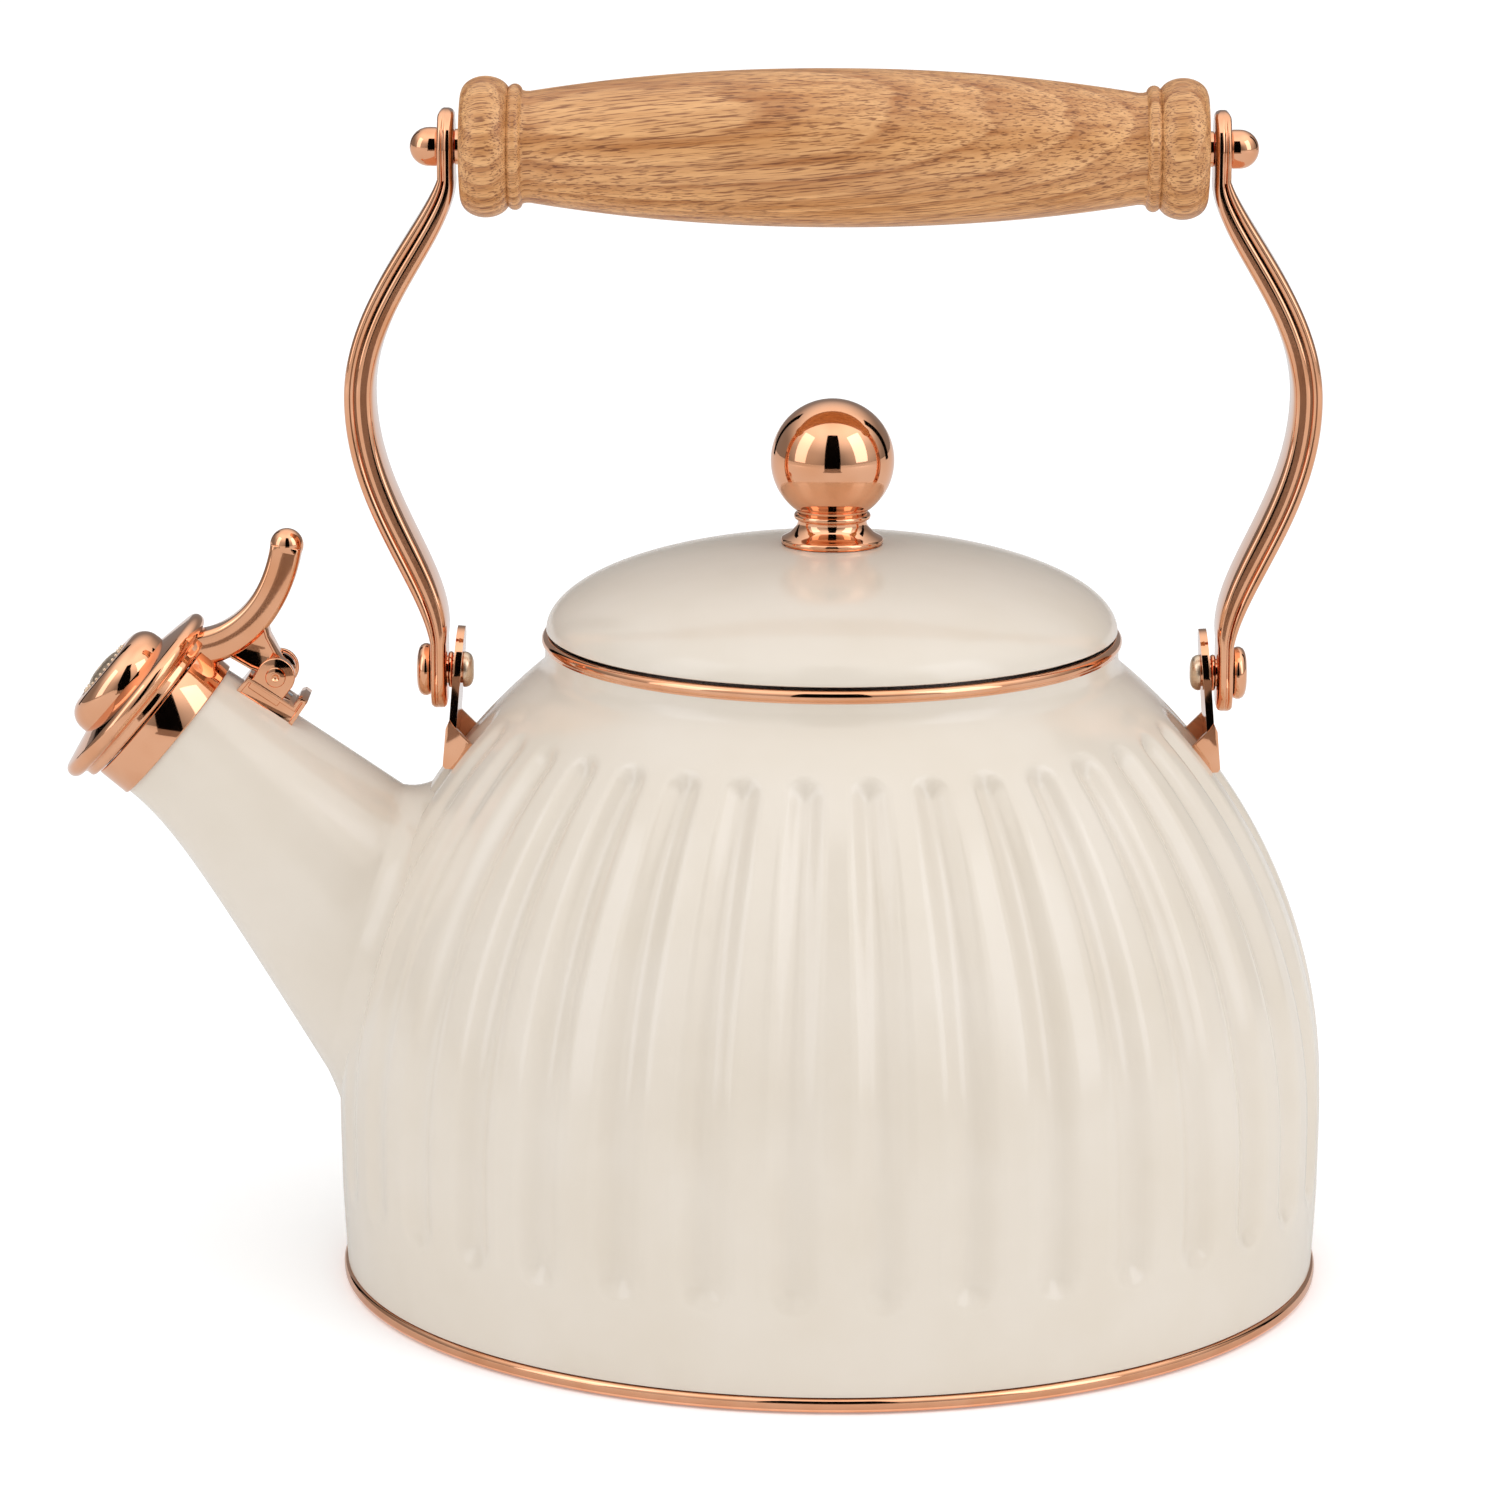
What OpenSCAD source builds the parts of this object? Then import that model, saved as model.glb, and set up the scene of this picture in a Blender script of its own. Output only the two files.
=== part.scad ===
// Stovetop whistling kettle: fluted enamel body, swing handle with a turned
// wooden grip, lift-off lid with a ball knob, and a spring-closed whistle cap.
// Millimetres, +Z up, origin at the centre of the flat underside, spout to -X.

/* [Body] */
// Widest radius of the body, over the lands of the flutes
body_r = 90.45; // [89.5:0.05:91]
// Height above the table at which the body is widest
body_wide_z = 34; // [33:0.5:35]
// Radius of the arc that makes the shoulder
shoulder_arc = 102.2; // [101:0.1:103]
// Radius of the slow curve below the widest height
lower_arc = 430; // [350:10:600]
// Thickness of the enamelled sheet
wall = 1; // [0.8:0.1:1.2]
// Outer radius of the neck at the mouth
neck_r = 52.2; // [51.8:0.1:52.5]
// Radius of the hollow curve between shoulder and neck
neck_fillet = 4; // [3:0.5:5]
// Height of the top edge of the neck
mouth_z = 118; // [117.6:0.1:118.2]

/* [Base and mouth trim] */
// Outer radius of the ring round the foot
base_ring_r = 90; // [89.5:0.1:90.4]
// Height of the ring round the foot
base_ring_h = 2.5; // [2:0.1:2.6]
// Radius of the flat pan under the body
base_pan_r = 85; // [80:1:86]
// Half thickness of the rolled ring round the mouth
mouth_bead = 1.5; // [1.3:0.1:1.6]

/* [Spout] */
// Angle of the spout's mouth above the level
spout_tilt = 40; // [39:0.5:41]
// Outer radius of the tube at its mouth
spout_r = 14.3; // [14:0.1:14.5]
// Half width of the tube where it meets the body
spout_root_w = 26; // [24:0.5:27]
// Length of the collar at the mouth
collar_len = 6.2; // [5.8:0.1:6.2]
// Radius of the round opening from body to spout
spout_hole_r = 19; // [15:0.5:19]

/* [Whistle cap] */
// Radius of the cap's flange
flange_r = 19; // [18:0.1:19.2]
// Radius of the whistle housing on the flange
housing_r = 10.9; // [10.5:0.1:11]
// Width of the thumb lever
lever_w = 6.2; // [5.6:0.1:6.6]
// Radius of the ball on the end of the lever
lever_ball_r = 2.9; // [2.6:0.1:3.1]
// Radius of the hinge pin
pin_r = 1.2; // [1:0.05:1.3]
// Radius of the wire of the closing spring
spring_wire = 0.35; // [0.3:0.05:0.4]

/* [Handle] */
// Height of the rivets on which the handle swings
pivot_z = 112.2; // [112:0.1:112.5]
// Height of the middle of the grip
grip_z = 207.9; // [206:0.1:210]
// Width of the pressed arms
arm_w = 14; // [12:0.5:15]
// Thickness of the arms at the eyes
arm_eye_t = 2.8; // [2.4:0.1:2.8]
// Thickness of the arms at mid height
arm_mid_t = 5.2; // [4.5:0.1:5.4]
// Radius of the rivet shanks
rivet_r = 2.5; // [2:0.1:2.6]
// Radius of the tie rod through the grip
rod_r = 2; // [1.6:0.1:2.2]
// Running clearance, per side, at the pivots
fit = 0.05; // [0.03:0.01:0.08]

/* [Grip] */
// Half length of the wooden grip
grip_half = 66.9; // [64:0.1:67]
// Radius of the grip at its middle
grip_mid_r = 14.2; // [13:0.1:15]
// Radius of the turned waist beside each end
grip_waist_r = 9.95; // [9:0.1:11]
// Radius of the rounded end knobs
grip_knob_r = 12.7; // [12:0.1:13.5]

/* [Lid] */
// Outer radius of the lid
lid_r = 52; // [51.5:0.1:52.2]
// Rise of the lid's dome
lid_h = 16; // [15:0.1:16.5]
// Height of the lid's lower edge
lid_z = 120.1; // [120.1:0.1:120.4]
// Radius of the ball knob
knob_r = 11.2; // [10.5:0.1:11.5]
// Height of the middle of the ball knob
knob_z = 151.2; // [150.8:0.1:151.6]

/* [Hidden] */

$fn = 96;
small_fn = 48;

enamel = "#e9dfcf";
rose_gold = "#dd9f76";
pale_gold = "#d3c09a";
oak = "#c8935a";
steel = "#b9bcbf";
silicone = "#4a4744";

// A corner that two faces share is given a hair of space, so bodies never touch
hair = 0.02;
far = 300;

// Body outline
foot_z = 3;
floor_z = 2;
hem_r = 87.4;
shoulder_x = body_r - shoulder_arc;
fillet_x = neck_r + neck_fillet;
fillet_z = body_wide_z + sqrt(pow(shoulder_arc + neck_fillet, 2) - pow(fillet_x - shoulder_x, 2));
shoulder_end = atan2(fillet_z - body_wide_z, fillet_x - shoulder_x);

// Spout, in the XZ plane: a straight top edge and a curved underside
tip = [-119.5, 100.7];
tip_lap = 2;
root_top = [-70, 84.4];
root_under = [-86, 26];
under_corner = [-119.8, 82.3];
under_pull = 0.92;
spout_sides = 32;
spout_rings = 12;
spout_hole_z = 62;

// Hinge of the whistle cap
pin_at = [-101.1, 111.6];
ear_r = 3.5;
ear_in = 3.9;
ear_out = 5;
barrel_r = 3.2;
barrel_half = 3.8;
spring_gap = 1.5;
saddle_tilt = atan2(tip[1] + spout_r * cos(spout_tilt) - root_top[1],
                    root_top[0] - tip[0] - spout_r * sin(spout_tilt));
saddle_front = 3.1;
saddle_back = 15;
saddle_half = 5.2;
saddle_top = 2.1;

// Whistle cap, measured along the spout's axis from the inner edge of the collar
seal_at = collar_len + 0.3;
flange_under = 7.2;
flange_face = 12.8;
plug_r = 9.6;
plug_at = 5.2;
steam_r = 2.5;
plate_t = 0.5;
plate_hole_r = 1.2;
window_r = 5.8;
housing_top = 17.8;
housing_wall = 2.2;

// Pivot stack, as distances out from the middle of the kettle
cap_in = 65.3;
rivet_cap_at = 67.22;
lug_in = 67.5;
lug_t = 1.2;
spacer_in = 68.72;
spacer_out = 69.9;
arm_foot_x = 71.45;
rivet_head_in = 73;
rivet_head_t = 2.3;
rivet_head_r = 4.6;
rivet_cap_r = 3.25;
lug_lean = 4;
lug_half = 8;
lug_drop = 18.5;

// Arms: centre line as two curves, foot to bow and bow to top eye
arm_bow = [85.4, 163];
arm_foot = [arm_foot_x, pivot_z + 5.8];
arm_head = [69.45, grip_z - 5.3];
arm_steps = 14;

// Grip stack
washer_in = grip_half + 0.15;
nut_in = arm_head[0] + arm_eye_t / 2;
nut_r = 3.55;
nut_len = 4.6;

// Lid
skirt_r = 49.2;
skirt_bottom = 110.5;
screw_r = 2;
knob_seat = 142.4;
knob_flange_r = 9.3;

function mix(a, b, t) = a * (1 - t) + b * t;
function bezier(p0, p1, p2, p3, t) =
    p0 * pow(1 - t, 3) + p1 * 3 * t * pow(1 - t, 2) + p2 * 3 * t * t * (1 - t) + p3 * pow(t, 3);
function reverse(list) = [for (i = [len(list) - 1 : -1 : 0]) list[i]];
function arc(centre, radius, from, to, steps) =
    [for (i = [0 : steps]) let (a = mix(from, to, i / steps))
        [centre[0] + radius * cos(a), centre[1] + radius * sin(a)]];

// Side of the body, from the foot to the mouth, moved inwards by inset
function body_side(inset, foot) = concat(
    [for (i = [0 : 4]) let (z = mix(foot, body_wide_z, i / 5))
        [body_r - lower_arc + sqrt(pow(lower_arc - inset, 2) - pow(z - body_wide_z, 2)), z]],
    arc([shoulder_x, body_wide_z], shoulder_arc - inset, 0, shoulder_end, 22),
    reverse([for (i = [0 : 5]) let (a = mix(180, 180 + shoulder_end, i / 6))
        [fillet_x + (neck_fillet + inset) * cos(a), fillet_z + (neck_fillet + inset) * sin(a)]]),
    [[neck_r - inset, mouth_z]]
);

// Everything inside the outer surface of the body
module body_solid() {
    rotate_extrude()
        polygon(concat([[0, foot_z]], body_side(0, foot_z), [[0, mouth_z]]));
}

module body_shell() {
    color(enamel)
    difference() {
        rotate_extrude()
            polygon(concat(
                [[0, floor_z], [hem_r, floor_z], [hem_r, foot_z]],
                body_side(0, foot_z),
                reverse(body_side(wall, foot_z + 0.4)),
                [[hem_r - wall, floor_z + wall], [0, floor_z + wall]]
            ));
        translate([0, 0, spout_hole_z])
            rotate([0, -90, 0])
                cylinder(r = spout_hole_r, h = far);
    }
}

module base_pan() {
    color(steel)
    rotate_extrude()
        polygon([[0, 0], [base_pan_r - 1, 0], [base_pan_r, 1], [base_pan_r, floor_z], [0, floor_z]]);
}

module base_ring() {
    bottom = 0.3;
    edge = 0.4;
    color(rose_gold)
    rotate_extrude($fn = 180)
        polygon([
            [hem_r + hair, bottom], [base_ring_r - edge, bottom], [base_ring_r, bottom + edge],
            [base_ring_r, bottom + base_ring_h - edge], [base_ring_r - edge, bottom + base_ring_h],
            [hem_r + hair, bottom + base_ring_h]
        ]);
}

module mouth_ring() {
    color(rose_gold)
    rotate_extrude()
        difference() {
            translate([neck_r - wall / 2 - 0.2, mouth_z + 0.3])
                circle(r = mouth_bead, $fn = small_fn);
            translate([neck_r - wall, mouth_z - 2 * mouth_bead])
                square([wall, 2 * mouth_bead]);
        }
}

// Puts a shape drawn along +Z onto the mouth of the spout
module at_tip() {
    translate([tip[0], 0, tip[1]])
        rotate([0, spout_tilt - 90, 0])
            children();
}

function tip_point(along, up) = [
    tip[0] - along * cos(spout_tilt) + up * sin(spout_tilt),
    tip[1] + along * sin(spout_tilt) + up * cos(spout_tilt)
];
function spout_top(t) = mix(tip_point(0, spout_r), root_top, t);
function spout_under(t) = bezier(
    tip_point(0, -spout_r),
    mix(tip_point(0, -spout_r), under_corner, under_pull),
    mix(root_under, under_corner, under_pull),
    root_under, t);
function spout_ring(top, under, half_width, inset) =
    let (middle = (top + under) / 2, up = (top - under) / norm(top - under),
         half = norm(top - under) / 2 - inset)
    [for (i = [0 : spout_sides - 1]) let (a = 360 * i / spout_sides)
        [middle[0] + up[0] * half * cos(a), (half_width - inset) * sin(a), middle[1] + up[1] * half * cos(a)]];

module spout_loft(inset, lap, reach) {
    mouth = spout_ring(tip_point(lap, spout_r), tip_point(lap, -spout_r), spout_r, inset);
    rings = concat([mouth], [for (i = [0 : spout_rings]) let (t = reach * i / spout_rings)
        spout_ring(spout_top(t), spout_under(t), mix(spout_r, spout_root_w, t), inset)]);
    n = spout_sides;
    last = len(rings) - 1;
    sides = [for (k = [0 : last - 1]) for (i = [0 : n - 1])
        [k * n + i, k * n + (i + 1) % n, (k + 1) * n + (i + 1) % n, (k + 1) * n + i]];
    ends = [[for (i = [n - 1 : -1 : 0]) i], [for (i = [0 : n - 1]) last * n + i]];
    polyhedron(points = [for (ring = rings) for (p = ring) p], faces = concat(sides, ends));
}

module spout_tube() {
    color(enamel)
    difference() {
        spout_loft(0, tip_lap, 1);
        spout_loft(wall, tip_lap + 1, 1.03);
        body_solid();
    }
}

module spout_collar() {
    bore = spout_r - wall;
    edge = 0.3;
    color(rose_gold)
    at_tip()
        rotate_extrude()
            polygon([
                [bore, tip_lap + hair], [spout_r + hair, tip_lap + hair], [spout_r + hair, 0], [spout_r + 0.65, 0],
                [spout_r + 0.65, collar_len - edge], [spout_r + 0.65 - edge, collar_len],
                [bore + edge, collar_len], [bore, collar_len - edge]
            ]);
}

// Puts a shape onto the top edge of the spout, +X down the spout and +Z outwards
module at_saddle() {
    top = tip_point(0, spout_r);
    translate([top[0], 0, top[1]])
        rotate([0, saddle_tilt, 0])
            children();
}

// A cylinder along Y round the hinge pin
module round_pin(radius, half) {
    translate([pin_at[0], 0, pin_at[1]])
        rotate([90, 0, 0])
            cylinder(r = radius, h = 2 * half, center = true, $fn = small_fn);
}

module hinge_base() {
    saddle_curve = 15;
    lip_h = 3.5;
    color(rose_gold)
    difference() {
        union() {
            at_saddle()
                translate([saddle_front, -saddle_half, -1.3])
                    cube([saddle_back - saddle_front, 2 * saddle_half, saddle_top + 1.3]);
            at_saddle()
                translate([saddle_back - 1.5, -ear_in, saddle_top - 0.5])
                    cube([1.4, 2 * ear_in, lip_h + 0.5]);
            for (side = [-1, 1])
                translate([pin_at[0], side * (ear_in + ear_out) / 2, pin_at[1]])
                    rotate([90, 0, 0])
                        cylinder(r = ear_r, h = ear_out - ear_in, center = true, $fn = small_fn);
        }
        at_saddle()
            translate([-far / 2, 0, -saddle_curve])
                rotate([0, 90, 0])
                    cylinder(r = saddle_curve + 0.2, h = far);
        round_pin(barrel_r + 0.4, barrel_half + 0.08);
        round_pin(pin_r + hair, 2 * saddle_half);
    }
}

module hinge_pin() {
    head_r = 1.85;
    head_t = 0.45;
    color(rose_gold)
    union() {
        round_pin(pin_r, ear_out + head_t);
        for (side = [-1, 1])
            translate([pin_at[0], side * (ear_out + hair + head_t / 2), pin_at[1]])
                rotate([90, 0, 0])
                    cylinder(r = head_r, h = head_t, center = true, $fn = small_fn);
    }
}

// One ring of the spring's wire, at a place on the pin and facing along the coil
function wire_ring(place, out, across, radius) =
    [for (i = [0 : 7]) place + radius * (cos(45 * i) * out + sin(45 * i) * across)];

module cap_spring() {
    turns = 3;
    steps = 16;
    coil_r = 2.1;
    pitch = 2 * spring_wire + 0.06;
    count = turns * steps;
    coil = [for (k = [0 : count])
        let (a = saddle_tilt + 360 * k / steps, out = [-sin(a), 0, -cos(a)])
        wire_ring([pin_at[0], pitch * (k / steps - turns / 2), pin_at[1]] + coil_r * out,
                  out, [0, 1, 0], spring_wire)];
    start = coil[0];
    tail = [cos(saddle_tilt), 0, -sin(saddle_tilt)] * 4.6;
    rings = concat([[for (p = start) p + tail]], coil);
    last = len(rings) - 1;
    sides = [for (k = [0 : last - 1]) for (i = [0 : 7])
        [k * 8 + i, k * 8 + (i + 1) % 8, (k + 1) * 8 + (i + 1) % 8, (k + 1) * 8 + i]];
    ends = [[for (i = [7 : -1 : 0]) i], [for (i = [0 : 7]) last * 8 + i]];
    color(steel)
    polyhedron(points = [for (ring = rings) for (p = ring) p], faces = concat(sides, ends));
}

// Mirrors a right-hand shape to the left for side = -1
module on_side(side) {
    mirror([side < 0 ? 1 : 0, 0, 0])
        children();
}

// A cylinder along X, from one distance out to another, at a given height
module along_x(from, to, radius, z) {
    translate([from, 0, z])
        rotate([0, 90, 0])
            cylinder(r = radius, h = to - from, $fn = small_fn);
}

module lug(side) {
    foot_half = 9;
    foot_t = 1;
    color(rose_gold)
    on_side(side)
    difference() {
        translate([lug_in, 0, pivot_z])
            rotate([0, -lug_lean, 0])
                union() {
                    rotate([0, 90, 0])
                        linear_extrude(lug_t)
                            union() {
                                circle(r = lug_half, $fn = small_fn);
                                polygon([[0, -lug_half], [0, lug_half],
                                         [lug_drop, foot_half], [lug_drop, -foot_half]]);
                            }
                    for (edge = [-1, 1])
                        translate([0, edge * (foot_half - foot_t / 2 - 0.4), 0])
                            rotate([90, 0, 0])
                                linear_extrude(foot_t, center = true)
                                    polygon([[0, -8.6], [lug_t, -8.6], [lug_t, -lug_drop],
                                             [0, -lug_drop], [-4, -13]]);
                }
        body_solid();
        along_x(0, far, rivet_r + hair, pivot_z);
    }
}

module left_lug() {
    lug(-1);
}

module right_lug() {
    lug(1);
}

module rivet(side) {
    color(rose_gold)
    on_side(side)
    union() {
        along_x(cap_in + 0.6, rivet_head_in + 0.5, rivet_r, pivot_z);
        translate([rivet_head_in, 0, pivot_z])
            rotate([0, 90, 0])
                rotate_extrude($fn = small_fn)
                    polygon(concat([[0, 0]],
                        [for (i = [0 : 6]) let (a = 15 * i)
                            [rivet_head_r - 1.6 + 1.6 * cos(a), (rivet_head_t - 0.7) * sin(a) + 0.3]],
                        [[0, rivet_head_t]]));
    }
}

module left_rivet() {
    rivet(-1);
}

module right_rivet() {
    rivet(1);
}

module rivet_cap(side) {
    color(pale_gold)
    on_side(side)
    difference() {
        translate([rivet_cap_at, 0, pivot_z])
            rotate([0, -90, 0])
                rotate_extrude($fn = small_fn)
                    polygon([[0, 0], [rivet_cap_r, 0], [rivet_cap_r, 1.5],
                             [rivet_cap_r - 0.6, rivet_cap_at - cap_in], [0, rivet_cap_at - cap_in]]);
        along_x(cap_in + 0.6 - hair, far, rivet_r + hair, pivot_z);
    }
}

module left_rivet_cap() {
    rivet_cap(-1);
}

module right_rivet_cap() {
    rivet_cap(1);
}

module pivot_spacer(side) {
    color(rose_gold)
    on_side(side)
    difference() {
        along_x(spacer_in + 0.3, spacer_out, rivet_cap_r, pivot_z);
        along_x(0, far, rivet_r + hair, pivot_z);
    }
}

module left_pivot_spacer() {
    pivot_spacer(-1);
}

module right_pivot_spacer() {
    pivot_spacer(1);
}

// Centre line of an arm: t runs 0 to 1 from the foot to the bow, 1 to 2 up to the head
function arm_line(t) = t < 1
    ? bezier(arm_foot, arm_foot + [0, 12], arm_bow - [0, 20], arm_bow, t)
    : bezier(arm_bow, arm_bow + [0, 17], arm_head + [0.7, -9], arm_head, t - 1);
function arm_normal(t) =
    let (step = 0.01, d = arm_line(min(t + step, 2)) - arm_line(max(t - step, 0)))
    [d[1], -d[0]] / norm(d);
function arm_half(t) = arm_eye_t / 2 + (arm_mid_t - arm_eye_t) / 2 * (1 - pow(abs(t - 1), 5));
function arm_edge(side) =
    [for (i = [0 : 2 * arm_steps]) let (t = i / arm_steps)
        arm_line(t) + side * arm_half(t) * arm_normal(t)];

module arm(side) {
    eye_r = arm_w / 2;
    half = arm_eye_t / 2;
    color(rose_gold)
    on_side(side)
    difference() {
        intersection() {
            rotate([90, 0, 0])
                linear_extrude(arm_w, center = true)
                    polygon(concat(
                        [[arm_foot[0] + half, pivot_z - eye_r]], arm_edge(1),
                        [[arm_head[0] + half, grip_z + eye_r], [arm_head[0] - half, grip_z + eye_r]],
                        reverse(arm_edge(-1)), [[arm_foot[0] - half, pivot_z - eye_r]]
                    ));
            union() {
                along_x(0, far, eye_r, pivot_z);
                along_x(0, far, eye_r, grip_z);
                translate([0, -eye_r, pivot_z])
                    cube([far, arm_w, grip_z - pivot_z]);
            }
        }
        along_x(0, far, rivet_r + fit, pivot_z);
        along_x(0, far, rod_r + hair, grip_z);
    }
}

module left_arm() {
    arm(-1);
}

module right_arm() {
    arm(1);
}

module tie_rod() {
    color(steel)
    along_x(-(nut_in + 2.6), nut_in + 2.6, rod_r, grip_z);
}

module ball_nut(side) {
    lead = 1.2;
    color(rose_gold)
    on_side(side)
    difference() {
        translate([nut_in, 0, grip_z])
            rotate([0, 90, 0])
                rotate_extrude($fn = small_fn)
                    polygon(concat([[0, 0], [nut_r - 0.5, 0], [nut_r, 0.4]],
                        [for (i = [0 : 6]) let (a = 15 * i)
                            [nut_r * cos(a), lead + (nut_len - lead) * sin(a)]]));
        along_x(0, nut_in + 2.7, rod_r + hair, grip_z);
    }
}

module left_ball_nut() {
    ball_nut(-1);
}

module right_ball_nut() {
    ball_nut(1);
}

module grip_washer(side) {
    washer_r = 3.2;
    color(rose_gold)
    on_side(side)
    difference() {
        along_x(washer_in, arm_head[0] - arm_eye_t / 2, washer_r, grip_z);
        along_x(0, far, rod_r + hair, grip_z);
    }
}

module left_grip_washer() {
    grip_washer(-1);
}

module right_grip_washer() {
    grip_washer(1);
}

// Half of the grip's outline, as [distance along, radius], from the middle to the end
function grip_outline() = concat(
    [for (i = [0 : 9]) let (u = i / 10) [53.4 * u, mix(grip_waist_r, grip_mid_r, pow(cos(90 * u), 1.1))]],
    [[54.6, grip_waist_r], [56, grip_waist_r + 0.2]],
    [for (i = [0 : 4]) let (a = 180 - 36 * i - 18) [57.4 + 1.4 * cos(a), 10.2 + 1.2 * sin(a)]],
    [[58.9, 10.8]],
    [for (i = [0 : 6]) let (a = 150 - 20 * i) [62.4 + 3.9 * cos(a), grip_knob_r - 3.4 + 3.4 * sin(a)]],
    [[grip_half, 9.8], [grip_half, 0]]
);

module grip() {
    half = grip_outline();
    other = [for (p = reverse(half)) [-p[0], p[1]]];
    color(oak)
    difference() {
        translate([0, 0, grip_z])
            rotate([0, 90, 0])
                rotate_extrude()
                    polygon([for (p = concat(other, half)) [p[1], p[0]]]);
        along_x(-far, far, rod_r + fit, grip_z);
    }
}

// Thumb lever, drawn flat: its centre line and its edges
lever_root = [-116, 116];
lever_end = [-99.15, 135.4];
function lever_line(t) = bezier(lever_root, lever_root + [8.5, 0.2], [-101, 124.5], lever_end, t);
function lever_edge(side) =
    [for (i = [0 : 12]) let (t = i / 12, d = lever_line(min(t + 0.01, 1)) - lever_line(max(t - 0.01, 0)))
        lever_line(t) + side * mix(3.2, 2.5, min(1, 2 * t)) * [d[1], -d[0]] / norm(d)];

// The lever and its ball, relieved where it passes the collar
module thumb_lever() {
    difference() {
        union() {
            rotate([90, 0, 0])
                linear_extrude(lever_w, center = true)
                    polygon(concat(lever_edge(1), reverse(lever_edge(-1))));
            translate([lever_end[0], 0, lever_end[1]])
                sphere(r = lever_ball_r, $fn = small_fn);
        }
        at_tip()
            translate([0, 0, seal_at - far])
                cylinder(r = spout_r + 1.05, h = far);
    }
}

module cap_casting() {
    fin_half = 2.7;
    color(rose_gold)
    difference() {
        union() {
            at_tip()
                rotate_extrude()
                    polygon([
                        [0, plug_at], [plug_r, plug_at], [plug_r, flange_under],
                        [14, flange_under], [14.4, flange_under + 0.4],
                        [flange_r - 0.4, 9.1], [flange_r, 9.6], [flange_r, 10.9],
                        [flange_r - 0.6, 11.6], [housing_r, flange_face], [0, flange_face]
                    ]);
            thumb_lever();
            rotate([90, 0, 0])
                linear_extrude(2 * fin_half, center = true)
                    polygon([[-110, 117.4], [-104.25, 111.6], pin_at, [-99.2, 114.1], [-104.2, 122]]);
            round_pin(barrel_r, barrel_half);
        }
        round_pin(pin_r + fit, 2 * barrel_half);
        round_pin(barrel_r + 0.35, spring_gap);
        at_tip()
            cylinder(r = steam_r, h = flange_face + 1, $fn = small_fn);
    }
}

module whistle_housing() {
    inner = housing_r - housing_wall;
    color(rose_gold)
    at_tip()
        rotate_extrude()
            polygon([
                [inner, flange_face], [housing_r, flange_face], [housing_r, 13.6], [10.5, 14.8],
                [9.6, 16], [8.2, 17.2], [7, housing_top], [6.3, housing_top],
                [window_r, 17.2], [window_r, 16.1], [inner - 0.6, 16.1], [inner, 15.4]
            ]);
}

// A thin plate with a hole in the middle, across the spout's axis
module whistle_plate(at, radius) {
    at_tip()
        translate([0, 0, at])
            difference() {
                cylinder(r = radius, h = plate_t, $fn = small_fn);
                translate([0, 0, -1])
                    cylinder(r = plate_hole_r, h = plate_t + 2, $fn = 24);
            }
}

module whistle_front_plate() {
    color(pale_gold)
    whistle_plate(16.1, window_r - hair);
}

module whistle_back_plate() {
    color(pale_gold)
    whistle_plate(flange_face, housing_r - housing_wall - hair);
}

module cap_seal() {
    color(silicone)
    at_tip()
        rotate_extrude()
            polygon([
                [plug_r + hair, seal_at], [13.4, seal_at],
                [13.4, flange_under - hair], [plug_r + hair, flange_under - hair]
            ]);
}

function lid_point(inset, a) = [(lid_r - inset) * cos(a), lid_z + (lid_h - inset) * sin(a)];

module lid_shell() {
    color(enamel)
    difference() {
        rotate_extrude()
            polygon(concat(
                [for (i = [0 : 18]) lid_point(0, 5 * i)],
                [for (i = [18 : -1 : 0]) lid_point(wall, 5 * i)]
            ));
        cylinder(r = screw_r + 0.2, h = far, $fn = small_fn);
    }
}

module lid_skirt() {
    inner = lid_r - wall;
    rise = lid_h - wall;
    sheet = 0.8;
    color(steel)
    rotate_extrude()
        polygon([
            [skirt_r - sheet, skirt_bottom], [skirt_r, skirt_bottom],
            [skirt_r, lid_z + rise * sqrt(1 - pow(skirt_r / inner, 2)) - hair],
            [skirt_r - sheet, lid_z + rise * sqrt(1 - pow(skirt_r / inner, 2)) - hair]
        ]);
}

module knob_ball() {
    color(rose_gold)
    difference() {
        translate([0, 0, knob_z])
            sphere(r = knob_r);
        translate([0, 0, knob_seat - far])
            cylinder(r = far, h = far);
        cylinder(r = screw_r + hair, h = 150, $fn = small_fn);
    }
}

module knob_collar() {
    foot = lid_z + lid_h;
    edge_z = lid_z + lid_h * sqrt(1 - pow(knob_flange_r / lid_r, 2));
    color(rose_gold)
    difference() {
        rotate_extrude()
            polygon([
                [0, foot], [knob_flange_r, edge_z + 0.3], [knob_flange_r, edge_z + 1.5],
                [knob_flange_r - 0.5, edge_z + 1.9], [7.2, 138.6], [6.3, 139.6], [6.3, 140.2],
                [6.9, 140.5], [6.9, 141.6], [6.3, knob_seat], [0, knob_seat]
            ]);
        cylinder(r = screw_r + hair, h = far, $fn = small_fn);
    }
}

module knob_screw() {
    under = lid_z + lid_h - wall;
    color(steel)
    union() {
        translate([0, 0, under - 3.2])
            cylinder(r = 4, h = 2.4, $fn = small_fn);
        translate([0, 0, under - 1])
            cylinder(r = screw_r, h = 149.5 - under + 1, $fn = small_fn);
    }
}

module knob_washer() {
    under = lid_z + lid_h - wall;
    color(steel)
    difference() {
        translate([0, 0, under - 0.8])
            cylinder(r = 6, h = 0.6, $fn = small_fn);
        cylinder(r = screw_r + hair, h = far, $fn = small_fn);
    }
}

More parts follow.
